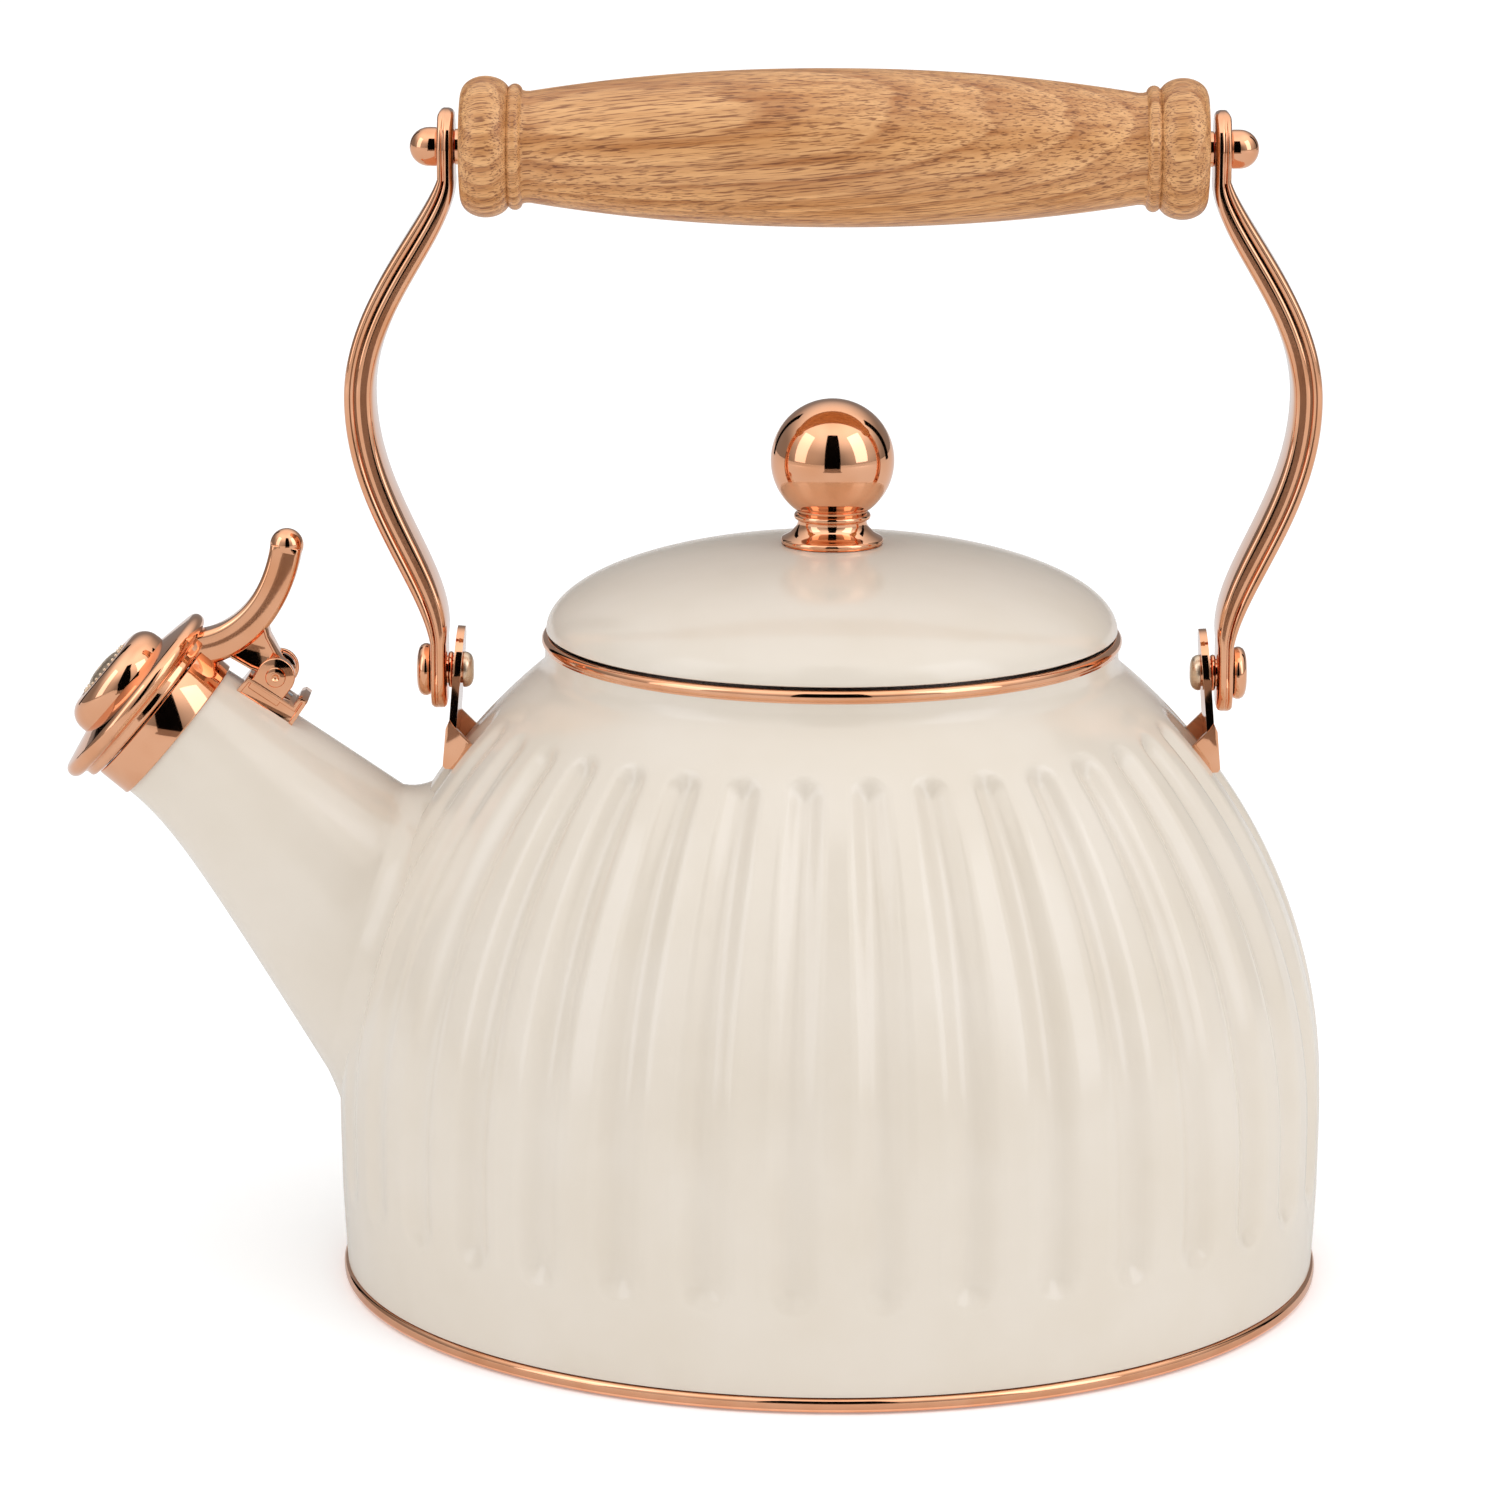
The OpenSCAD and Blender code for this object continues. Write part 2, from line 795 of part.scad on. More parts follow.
body_shell();
base_pan();
base_ring();
mouth_ring();
spout_tube();
spout_collar();
hinge_base();
hinge_pin();
cap_spring();
left_lug();
right_lug();
left_rivet();
right_rivet();
left_rivet_cap();
right_rivet_cap();
left_pivot_spacer();
right_pivot_spacer();
left_arm();
right_arm();
tie_rod();
left_ball_nut();
right_ball_nut();
left_grip_washer();
right_grip_washer();
grip();
cap_casting();
whistle_housing();
whistle_front_plate();
whistle_back_plate();
cap_seal();
lid_shell();
lid_skirt();
knob_ball();
knob_collar();
knob_screw();
knob_washer();
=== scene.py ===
"""Looks of a stovetop whistling kettle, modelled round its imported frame.

Sizes are in millimetres, +Z is up, the spout points to -X and the front is -Y.
"""

import logging
import math
from dataclasses import dataclass
from enum import Enum
from typing import Callable, Sequence

import bpy
from mathutils import Matrix, Vector


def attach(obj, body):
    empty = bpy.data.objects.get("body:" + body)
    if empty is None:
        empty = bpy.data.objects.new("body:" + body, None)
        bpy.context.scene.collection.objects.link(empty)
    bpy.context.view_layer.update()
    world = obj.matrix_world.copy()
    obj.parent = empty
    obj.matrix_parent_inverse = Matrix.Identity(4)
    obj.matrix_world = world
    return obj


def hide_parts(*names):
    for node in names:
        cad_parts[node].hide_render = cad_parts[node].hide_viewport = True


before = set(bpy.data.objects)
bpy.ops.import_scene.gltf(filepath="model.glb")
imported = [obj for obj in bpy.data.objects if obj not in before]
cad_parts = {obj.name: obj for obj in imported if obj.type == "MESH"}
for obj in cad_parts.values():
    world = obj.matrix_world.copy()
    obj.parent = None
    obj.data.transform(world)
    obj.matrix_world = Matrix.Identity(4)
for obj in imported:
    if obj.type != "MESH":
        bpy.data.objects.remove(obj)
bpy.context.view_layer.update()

LOG = logging.getLogger("kettle")
MM = 0.001
WELD = 1e-7
FULL_TURN = 2 * math.pi
FINE = 128
ROUND = 64

Point = tuple[float, float]
Triple = tuple[float, float, float]


class Moving(Enum):
    """The bodies that pieces ride on."""

    KETTLE = "kettle"
    HANDLE = "handle"
    GRIP = "grip"
    CAP = "whistle_cap"
    LID = "lid"


class Slot(Enum):
    """The record's material slots."""

    ENAMEL = "enamel"
    COPPER = "copper_plate"
    PALE = "pale_gold_plate"
    WOOD = "oiled_wood"
    STEEL = "steel"
    SILICONE = "silicone"


# ---------------------------------------------------------------- small maths

def metres(x: float, y: float, z: float) -> Vector:
    """Turn a place in millimetres into one in metres."""
    return Vector((x, y, z)) * MM


def mix(low: float, high: float, share: float) -> float:
    """Go from one number to another by a share of the way."""
    return low + (high - low) * share


def arc(centre: Point, radius: float, start: float, end: float, steps: int) -> list[Point]:
    """Points of a circle's arc.

    Args:
        centre: Middle of the circle.
        radius: Its radius.
        start: First angle in degrees, from the first axis.
        end: Last angle in degrees.
        steps: Number of chords.

    Returns:
        The points from start to end, both included.
    """
    angles = [math.radians(mix(start, end, i / steps)) for i in range(steps + 1)]
    return [(centre[0] + radius * math.cos(a), centre[1] + radius * math.sin(a)) for a in angles]


def bezier(corners: Sequence[Point], share: float) -> Point:
    """A place on a cubic curve through its four control points."""
    rest = 1 - share
    weights = (rest ** 3, 3 * share * rest ** 2, 3 * share ** 2 * rest, share ** 3)
    return (sum(w * c[0] for w, c in zip(weights, corners)),
            sum(w * c[1] for w, c in zip(weights, corners)))


@dataclass(frozen=True)
class Axis:
    """A turning axis in millimetres, with the direction its radius is drawn in."""

    start: Triple
    along: Triple
    out: Triple

    def at(self, radius: float, along: float) -> Vector:
        """Place in metres of a point of a profile."""
        return (Vector(self.start) + along * Vector(self.along) + radius * Vector(self.out)) * MM


UPRIGHT = Axis((0, 0, 0), (0, 0, 1), (1, 0, 0))


# ---------------------------------------------------------------- bench tools

def put_down() -> None:
    """Leave edit mode and deselect everything."""
    if bpy.context.object and bpy.context.object.mode != "OBJECT":
        bpy.ops.object.mode_set(mode="OBJECT")
    bpy.ops.object.select_all(action="DESELECT")


def pick_up(obj: bpy.types.Object) -> None:
    """Select one object and make it the active one."""
    put_down()
    obj.select_set(True)
    bpy.context.view_layer.objects.active = obj


def finish_with(obj: bpy.types.Object, kind: str, **settings: object) -> None:
    """Add a modifier to an object and apply it."""
    pick_up(obj)
    modifier = obj.modifiers.new(kind.title(), kind)
    for key, value in settings.items():
        setattr(modifier, key, value)
    bpy.ops.object.modifier_apply(modifier=modifier.name)


def smooth(obj: bpy.types.Object, angle: float = 32) -> bpy.types.Object:
    """Shade a piece smooth, but for its edges sharper than an angle in degrees."""
    pick_up(obj)
    bpy.ops.object.shade_smooth_by_angle(angle=math.radians(angle))
    put_down()
    return obj


def soften(obj: bpy.types.Object, width: float, segments: int = 3, angle: float = 30) -> None:
    """Round a piece's sharp edges by a width in millimetres."""
    finish_with(obj, "BEVEL", width=width * MM, segments=segments, limit_method="ANGLE",
                angle_limit=math.radians(angle), use_clamp_overlap=True)


def carve(obj: bpy.types.Object, tool: bpy.types.Object, how: str = "DIFFERENCE") -> None:
    """Cut a piece with a tool, or join the tool to it, and throw the tool away."""
    finish_with(obj, "BOOLEAN", object=tool, operation=how, solver="EXACT")
    mesh = tool.data
    bpy.data.objects.remove(tool)
    bpy.data.meshes.remove(mesh)


def copied(obj: bpy.types.Object, name: str) -> bpy.types.Object:
    """Copy a piece with a mesh of its own, and leave all of the copy selected to edit."""
    pick_up(obj)
    bpy.ops.object.duplicate(linked=False)
    copy = bpy.context.active_object
    copy.name = name
    copy.data.name = name
    bpy.ops.object.mode_set(mode="EDIT")
    bpy.ops.mesh.select_all(action="SELECT")
    return copy


def mirrored(obj: bpy.types.Object, name: str) -> bpy.types.Object:
    """Copy a piece to the other side of the YZ plane."""
    copy = copied(obj, name)
    bpy.ops.transform.resize(value=(-1, 1, 1), center_override=(0, 0, 0))
    bpy.ops.mesh.normals_make_consistent(inside=False)
    put_down()
    return copy


class Workpiece:
    """One mesh on the bench, begun as a point and drawn out with edit tools."""

    def __init__(self, name: str, start: Vector) -> None:
        """Begin a piece at a point in metres."""
        put_down()
        bpy.ops.mesh.primitive_plane_add(size=MM, location=start)
        self.obj = bpy.context.active_object
        self.obj.name = name
        self.obj.data.name = name
        bpy.ops.object.transform_apply(location=True, rotation=False, scale=False)
        bpy.ops.object.mode_set(mode="EDIT")
        bpy.ops.mesh.select_mode(type="VERT")
        bpy.ops.mesh.select_all(action="SELECT")
        bpy.ops.mesh.merge(type="CENTER")
        self.pen = start.copy()

    def trace(self, places: Sequence[Vector]) -> None:
        """Extrude the selected point from place to place."""
        for place in places:
            bpy.ops.mesh.extrude_region_move(TRANSFORM_OT_translate={"value": place - self.pen})
            self.pen = place.copy()

    def outline(self, places: Sequence[Vector]) -> None:
        """Extrude the point through all places and back to the start, and close the loop."""
        self.trace([*places[1:], places[0]])
        self.weld()

    def weld(self) -> None:
        """Merge points that lie together."""
        bpy.ops.mesh.select_all(action="SELECT")
        bpy.ops.mesh.remove_doubles(threshold=WELD)

    def face_out(self) -> None:
        """Point every face outwards."""
        bpy.ops.mesh.select_all(action="SELECT")
        bpy.ops.mesh.normals_make_consistent(inside=False)

    def spin(self, axis: Axis, steps: int) -> None:
        """Turn the whole drawing a full turn about an axis."""
        bpy.ops.mesh.select_all(action="SELECT")
        bpy.ops.mesh.spin(steps=steps, angle=FULL_TURN, center=axis.at(0, 0),
                          axis=Vector(axis.along))
        self.weld()
        self.face_out()

    def choose(self, test: Callable[[bpy.types.MeshVertex], bool]) -> None:
        """Select the points that pass a test, and the faces between them.

        Args:
            test: Says whether a point of the mesh is wanted.
        """
        bpy.ops.mesh.select_all(action="DESELECT")
        bpy.ops.object.mode_set(mode="OBJECT")
        wanted = [test(v) for v in self.obj.data.vertices]
        self.obj.data.vertices.foreach_set("select", wanted)
        bpy.ops.object.mode_set(mode="EDIT")
        bpy.ops.mesh.select_mode(type="VERT")

    def choose_faces(self, test: Callable[[bpy.types.MeshPolygon], bool]) -> None:
        """Select the faces that pass a test."""
        bpy.ops.mesh.select_all(action="DESELECT")
        bpy.ops.mesh.select_mode(type="FACE")
        bpy.ops.object.mode_set(mode="OBJECT")
        wanted = [test(p) for p in self.obj.data.polygons]
        self.obj.data.polygons.foreach_set("select", wanted)
        bpy.ops.object.mode_set(mode="EDIT")

    def sink(self, rim: float, slope: float, depth: float) -> None:
        """Leave a rim round the selected faces and sink them, sizes in millimetres."""
        bpy.ops.mesh.inset(thickness=rim * MM, depth=0)
        bpy.ops.mesh.inset(thickness=slope * MM, depth=-depth * MM)

    def thicken(self, move: Vector) -> None:
        """Fill the closed outline and push it through by a move in metres."""
        bpy.ops.mesh.select_all(action="SELECT")
        bpy.ops.mesh.edge_face_add()
        bpy.ops.mesh.extrude_region_move(TRANSFORM_OT_translate={"value": move})
        self.face_out()

    def done(self) -> bpy.types.Object:
        """Leave edit mode and hand over the object."""
        put_down()
        return self.obj


def turned(name: str, axis: Axis, profile: Sequence[Point], steps: int = FINE,
           closed: bool = False) -> bpy.types.Object:
    """Turn a profile on the lathe.

    Args:
        name: Name of the piece.
        axis: The lathe's axis.
        profile: Radius and distance along the axis of each point, in millimetres.
        steps: Number of facets round.
        closed: Whether the last point joins the first.

    Returns:
        The turned piece, with its faces pointing out.
    """
    places = [axis.at(radius, along) for radius, along in profile]
    piece = Workpiece(name, places[0])
    if closed:
        piece.outline(places)
    else:
        piece.trace(places[1:])
    piece.spin(axis, steps)
    return piece.done()


class Sweep:
    """A closed section carried along a line in the XZ plane."""

    def __init__(self, piece: Workpiece, centre: Point, thick: float, width: float) -> None:
        """Take the section where it was drawn, flat and facing up."""
        self.piece = piece
        self.centre = centre
        self.lean = 0.0
        self.thick = thick
        self.width = width

    def _turn(self, angle: float, about: Vector) -> None:
        """Lean the selected section towards +X by an angle in radians."""
        bpy.ops.transform.rotate(value=-angle, orient_axis="Y", center_override=about)

    def step(self, centre: Point, lean: float, thick: float, width: float) -> None:
        """Extrude the section to its next place.

        Args:
            centre: Middle of the next section, X and Z in millimetres.
            lean: Its lean towards +X in radians.
            thick: Its size across, in the plane of the line.
            width: Its size along Y.
        """
        move = metres(centre[0] - self.centre[0], 0, centre[1] - self.centre[1])
        about = metres(centre[0], 0, centre[1])
        bpy.ops.mesh.extrude_region_move(TRANSFORM_OT_translate={"value": move})
        self._turn(-self.lean, about)
        bpy.ops.transform.resize(value=(thick / self.thick, width / self.width, 1),
                                 center_override=about)
        self._turn(lean, about)
        self.centre, self.lean, self.thick, self.width = centre, lean, thick, width

    def close(self) -> None:
        """Draw the last section together."""
        bpy.ops.mesh.merge(type="CENTER")


def ball(name: str, centre: Triple, radius: float) -> bpy.types.Object:
    """Turn a ball about an upright axis through its centre."""
    axis = Axis(centre, (0, 0, 1), (1, 0, 0))
    return turned(name, axis, arc((0, 0), radius, -90, 90, 32), ROUND)


def rod(name: str, axis: Axis, radius: float, start: float, end: float,
        steps: int = ROUND) -> bpy.types.Object:
    """A plain rod, used only to drill and to join."""
    return turned(name, axis, [(0, start), (radius, start), (radius, end), (0, end)], steps)


# ---------------------------------------------------------------- finishes

def linear(code: str) -> tuple[float, float, float, float]:
    """Turn an sRGB hex colour into linear light."""
    parts = [int(code[i:i + 2], 16) / 255 for i in (1, 3, 5)]
    light = [c / 12.92 if c <= 0.04045 else ((c + 0.055) / 1.055) ** 2.4 for c in parts]
    return light[0], light[1], light[2], 1.0


def add_node(tree: bpy.types.NodeTree, kind: str, inputs: dict | None = None,
             **settings: object) -> bpy.types.Node:
    """Add a node to a tree.

    Args:
        tree: The material's node tree.
        kind: The node's type.
        inputs: Values or sockets for its inputs, by name or number.
        settings: Its other settings.

    Returns:
        The node.
    """
    made = tree.nodes.new(kind)
    for key, value in settings.items():
        setattr(made, key, value)
    for socket, value in (inputs or {}).items():
        if isinstance(value, bpy.types.NodeSocket):
            tree.links.new(value, made.inputs[socket])
        else:
            made.inputs[socket].default_value = value
    return made


def ramp(tree: bpy.types.NodeTree, factor: bpy.types.NodeSocket,
         stops: Sequence[tuple[float, str]]) -> bpy.types.NodeSocket:
    """Colours along a factor, as pairs of position and hex colour."""
    made = add_node(tree, "ShaderNodeValToRGB", {"Fac": factor})
    elements = made.color_ramp.elements
    while len(elements) < len(stops):
        elements.new(1.0)
    for element, (position, code) in zip(elements, stops):
        element.position = position
        element.color = linear(code)
    return made.outputs["Color"]


def fade(tree: bpy.types.NodeTree, value: bpy.types.NodeSocket, span: Point,
         ends: Point) -> bpy.types.NodeSocket:
    """Fade smoothly from one end value to the other while a value crosses a span."""
    made = add_node(tree, "ShaderNodeMapRange",
                    {"Value": value, "From Min": span[0], "From Max": span[1],
                     "To Min": ends[0], "To Max": ends[1]}, interpolation_type="SMOOTHSTEP")
    return made.outputs["Result"]


@dataclass(frozen=True)
class Finish:
    """A surface finish: what all of them share."""

    name: str
    colour: str
    roughness: float

    def start(self) -> tuple[bpy.types.Material, bpy.types.NodeTree, bpy.types.Node,
                             bpy.types.NodeSocket]:
        """Make an empty material with its shader.

        Returns:
            The material, its tree, its shader node and the object coordinates.
        """
        material = bpy.data.materials.new(self.name)
        material.use_nodes = True
        tree = material.node_tree
        tree.nodes.clear()
        shader = add_node(tree, "ShaderNodeBsdfPrincipled")
        add_node(tree, "ShaderNodeOutputMaterial", {"Surface": shader.outputs["BSDF"]})
        shader.inputs["Roughness"].default_value = self.roughness
        material.diffuse_color = linear(self.colour)
        place = add_node(tree, "ShaderNodeTexCoord").outputs["Object"]
        return material, tree, shader, place

    def bump(self, tree: bpy.types.NodeTree, shader: bpy.types.Node,
             height: bpy.types.NodeSocket, depth: float) -> None:
        """Give the shader a relief of a depth in millimetres."""
        made = add_node(tree, "ShaderNodeBump",
                        {"Strength": 1.0, "Distance": depth * MM, "Height": height})
        tree.links.new(made.outputs["Normal"], shader.inputs["Normal"])

    def uneven_gloss(self, tree: bpy.types.NodeTree, shader: bpy.types.Node,
                     pattern: bpy.types.NodeSocket, shares: Point) -> None:
        """Let a pattern carry the roughness between two shares of its own value."""
        gloss = add_node(tree, "ShaderNodeMapRange",
                         {"Value": pattern, "To Min": self.roughness * shares[0],
                          "To Max": self.roughness * shares[1]})
        tree.links.new(gloss.outputs["Result"], shader.inputs["Roughness"])

    def build(self) -> bpy.types.Material:
        """Make the material."""
        raise NotImplementedError


@dataclass(frozen=True)
class VitreousEnamel(Finish):
    """Cream glass enamel fired on steel: glossy, a little uneven, faintly clouded."""

    shade: str = "#d8cdbd"
    cloud_size: float = 22.0
    peel_size: float = 3.2
    peel_depth: float = 0.006

    def build(self) -> bpy.types.Material:
        """Make the material."""
        material, tree, shader, place = self.start()
        cloud = add_node(tree, "ShaderNodeTexNoise",
                         {"Vector": place, "Scale": 1 / (self.cloud_size * MM), "Detail": 3.0})
        colours = ramp(tree, cloud.outputs["Fac"], [(0.3, self.shade), (0.7, self.colour)])
        tree.links.new(colours, shader.inputs["Base Color"])
        self.uneven_gloss(tree, shader, cloud.outputs["Fac"], (0.8, 1.25))
        shader.inputs["IOR"].default_value = 1.52
        peel = add_node(tree, "ShaderNodeTexNoise",
                        {"Vector": place, "Scale": 1 / (self.peel_size * MM), "Detail": 1.0})
        self.bump(tree, shader, peel.outputs["Fac"], self.peel_depth)
        return material


@dataclass(frozen=True)
class PolishedPlate(Finish):
    """Metal plate buffed to a mirror: faint wiping marks and a slow waviness."""

    tarnish: str = "#e7a57b"
    wave_size: float = 9.0
    wave_depth: float = 0.004
    mark_size: float = 0.35

    def build(self) -> bpy.types.Material:
        """Make the material."""
        material, tree, shader, place = self.start()
        shader.inputs["Metallic"].default_value = 1.0
        slow = add_node(tree, "ShaderNodeTexNoise",
                        {"Vector": place, "Scale": 1 / (self.wave_size * MM), "Detail": 2.0})
        colours = ramp(tree, slow.outputs["Fac"], [(0.25, self.tarnish), (0.6, self.colour)])
        tree.links.new(colours, shader.inputs["Base Color"])
        marks = add_node(tree, "ShaderNodeTexNoise",
                         {"Vector": place, "Scale": 1 / (self.mark_size * MM), "Detail": 4.0})
        self.uneven_gloss(tree, shader, marks.outputs["Fac"], (0.6, 1.5))
        self.bump(tree, shader, slow.outputs["Fac"], self.wave_depth)
        return material


@dataclass(frozen=True)
class OiledOak(Finish):
    """Pale oak turned on a lathe and oiled: bands of growth, streaks and open pores."""

    early: str = "#e0aa72"
    late: str = "#a3642f"
    pore: str = "#7d4a20"
    ring_gap: float = 2.6
    pore_length: float = 6.0
    pore_width: float = 0.24
    pore_depth: float = 0.04
    pore_share: float = 0.7
    pith: Triple = (0.0, 21.0, 190.0)

    def build(self) -> bpy.types.Material:
        """Make the material."""
        material, tree, shader, place = self.start()
        centred = add_node(tree, "ShaderNodeMapping",
                           {"Vector": place, "Location": [-c * MM for c in self.pith],
                            "Rotation": (0.0, 0.1, 0.05)})
        stretched = add_node(tree, "ShaderNodeMapping",
                             {"Vector": centred.outputs["Vector"], "Scale": (0.16, 1.0, 1.0)})
        rings = add_node(tree, "ShaderNodeTexWave",
                         {"Vector": stretched.outputs["Vector"],
                          "Scale": math.pi / (10 * self.ring_gap * MM), "Distortion": 2.6,
                          "Detail": 3.0, "Detail Scale": 1.6, "Detail Roughness": 0.55},
                         wave_type="RINGS", rings_direction="X", wave_profile="SAW")
        fibre = add_node(tree, "ShaderNodeMapping",
                         {"Vector": centred.outputs["Vector"],
                          "Scale": (self.pore_width / self.pore_length, 1.0, 1.0)})
        pores = add_node(tree, "ShaderNodeTexNoise",
                         {"Vector": fibre.outputs["Vector"], "Scale": 1 / (self.pore_width * MM),
                          "Detail": 2.0})
        streaks = add_node(tree, "ShaderNodeTexNoise",
                           {"Vector": fibre.outputs["Vector"],
                            "Scale": 0.16 / (self.pore_width * MM), "Detail": 3.0})
        bands = ramp(tree, rings.outputs["Fac"],
                     [(0.0, self.early), (0.55, self.colour), (0.92, self.late), (1.0, self.early)])
        tone = ramp(tree, streaks.outputs["Fac"], [(0.32, self.late), (0.62, self.early)])
        grain = add_node(tree, "ShaderNodeMix", {0: 0.5, 6: bands, 7: tone}, data_type="RGBA")
        dark = ramp(tree, pores.outputs["Fac"], [(0.38, self.pore), (0.48, "#ffffff")])
        inked = add_node(tree, "ShaderNodeMix",
                         {0: self.pore_share, 6: grain.outputs[2], 7: dark},
                         data_type="RGBA", blend_type="MULTIPLY")
        tree.links.new(inked.outputs[2], shader.inputs["Base Color"])
        self.bump(tree, shader, pores.outputs["Fac"], self.pore_depth)
        return material


@dataclass(frozen=True)
class BrushedSteel(Finish):
    """Stainless sheet with a fine brushed grain."""

    shade: str = "#a9acae"
    grain: float = 0.25
    length: float = 14.0
    depth: float = 0.004

    def build(self) -> bpy.types.Material:
        """Make the material."""
        material, tree, shader, place = self.start()
        shader.inputs["Metallic"].default_value = 1.0
        fine = add_node(tree, "ShaderNodeMapping",
                        {"Vector": place, "Scale": (self.grain / self.length, 1.0, 1.0)})
        lines = add_node(tree, "ShaderNodeTexNoise",
                         {"Vector": fine.outputs["Vector"], "Scale": 1 / (self.grain * MM),
                          "Detail": 3.0})
        colours = ramp(tree, lines.outputs["Fac"], [(0.3, self.shade), (0.7, self.colour)])
        tree.links.new(colours, shader.inputs["Base Color"])
        self.uneven_gloss(tree, shader, lines.outputs["Fac"], (0.8, 1.3))
        self.bump(tree, shader, lines.outputs["Fac"], self.depth)
        return material


@dataclass(frozen=True)
class MouldedSilicone(Finish):
    """Soft dark rubber moulded with a matt skin."""

    shade: str = "#2a2726"
    grit: float = 0.4
    depth: float = 0.01

    def build(self) -> bpy.types.Material:
        """Make the material."""
        material, tree, shader, place = self.start()
        skin = add_node(tree, "ShaderNodeTexNoise",
                        {"Vector": place, "Scale": 1 / (self.grit * MM), "Detail": 2.0})
        colours = ramp(tree, skin.outputs["Fac"], [(0.3, self.shade), (0.7, self.colour)])
        tree.links.new(colours, shader.inputs["Base Color"])
        self.bump(tree, shader, skin.outputs["Fac"], self.depth)
        return material


@dataclass(frozen=True)
class StudioPaper(Finish):
    """White seamless paper, lit a little from below."""

    shade: str = "#f2f2f2"
    glow: float = 0.2

    def build(self) -> bpy.types.Material:
        """Make the material."""
        material, tree, shader, place = self.start()
        fibre = add_node(tree, "ShaderNodeTexNoise", {"Vector": place, "Scale": 400.0})
        colours = ramp(tree, fibre.outputs["Fac"], [(0.3, self.shade), (0.7, self.colour)])
        tree.links.new(colours, shader.inputs["Base Color"])
        shader.inputs["Specular IOR Level"].default_value = 0.0
        shader.inputs["Emission Color"].default_value = linear(self.colour)
        shader.inputs["Emission Strength"].default_value = self.glow
        return material


@dataclass(frozen=True)
class FlagCloth(Finish):
    """Matt cloth of a studio flag or card, seen only in what the bright metal mirrors; the grey
    patches at the front flag's foot are painted shade of the floor.
    """

    def build(self) -> bpy.types.Material:
        """Make the material."""
        material, tree, shader, place = self.start()
        weave = add_node(tree, "ShaderNodeTexNoise", {"Vector": place, "Scale": 300.0})
        self.bump(tree, shader, weave.outputs["Fac"], 0.2)
        shader.inputs["Base Color"].default_value = linear(self.colour)
        shader.inputs["Specular IOR Level"].default_value = 0.0
        return material


@dataclass
class Palette:
    """The finishes of this kettle, each made once."""

    enamel: bpy.types.Material
    copper: bpy.types.Material
    pale: bpy.types.Material
    wood: bpy.types.Material
    steel: bpy.types.Material
    silicone: bpy.types.Material

    @classmethod
    def mixed(cls) -> "Palette":
        """Make every finish."""
        return cls(
            enamel=VitreousEnamel("cream_vitreous_enamel", "#dcd2c4", 0.17).build(),
            copper=PolishedPlate("rose_copper_plate", "#f0b48e", 0.055).build(),
            pale=PolishedPlate("pale_gold_plate", "#ecd3b8", 0.3, tarnish="#dcc0a2").build(),
            wood=OiledOak("oiled_turned_oak", "#cb9055", 0.4).build(),
            steel=BrushedSteel("brushed_stainless_steel", "#c3c5c7", 0.28).build(),
            silicone=MouldedSilicone("dark_silicone", "#3a3634", 0.6).build(),
        )

    def of(self, slot: Slot) -> bpy.types.Material:
        """The finish that fills a slot."""
        return {
            Slot.ENAMEL: self.enamel, Slot.COPPER: self.copper, Slot.PALE: self.pale,
            Slot.WOOD: self.wood, Slot.STEEL: self.steel, Slot.SILICONE: self.silicone,
        }[slot]


def fit(obj: bpy.types.Object, palette: Palette, slot: Slot, body: Moving,
        *nodes: str) -> bpy.types.Object:
    """Dress a piece, put it on its body and hide the CAD nodes it stands for.

    Args:
        obj: The finished piece.
        palette: The finishes.
        slot: The slot its finish fills.
        body: The body it rides on.
        nodes: CAD nodes that it replaces.

    Returns:
        The piece.
    """
    obj.data.materials.clear()
    obj.data.materials.append(palette.of(slot))
    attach(obj, body.value)
    if nodes:
        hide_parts(*nodes)
    LOG.info("%s: %d faces on %s", obj.name, len(obj.data.polygons), body.value)
    return obj


# ---------------------------------------------------------------- the kettle's body

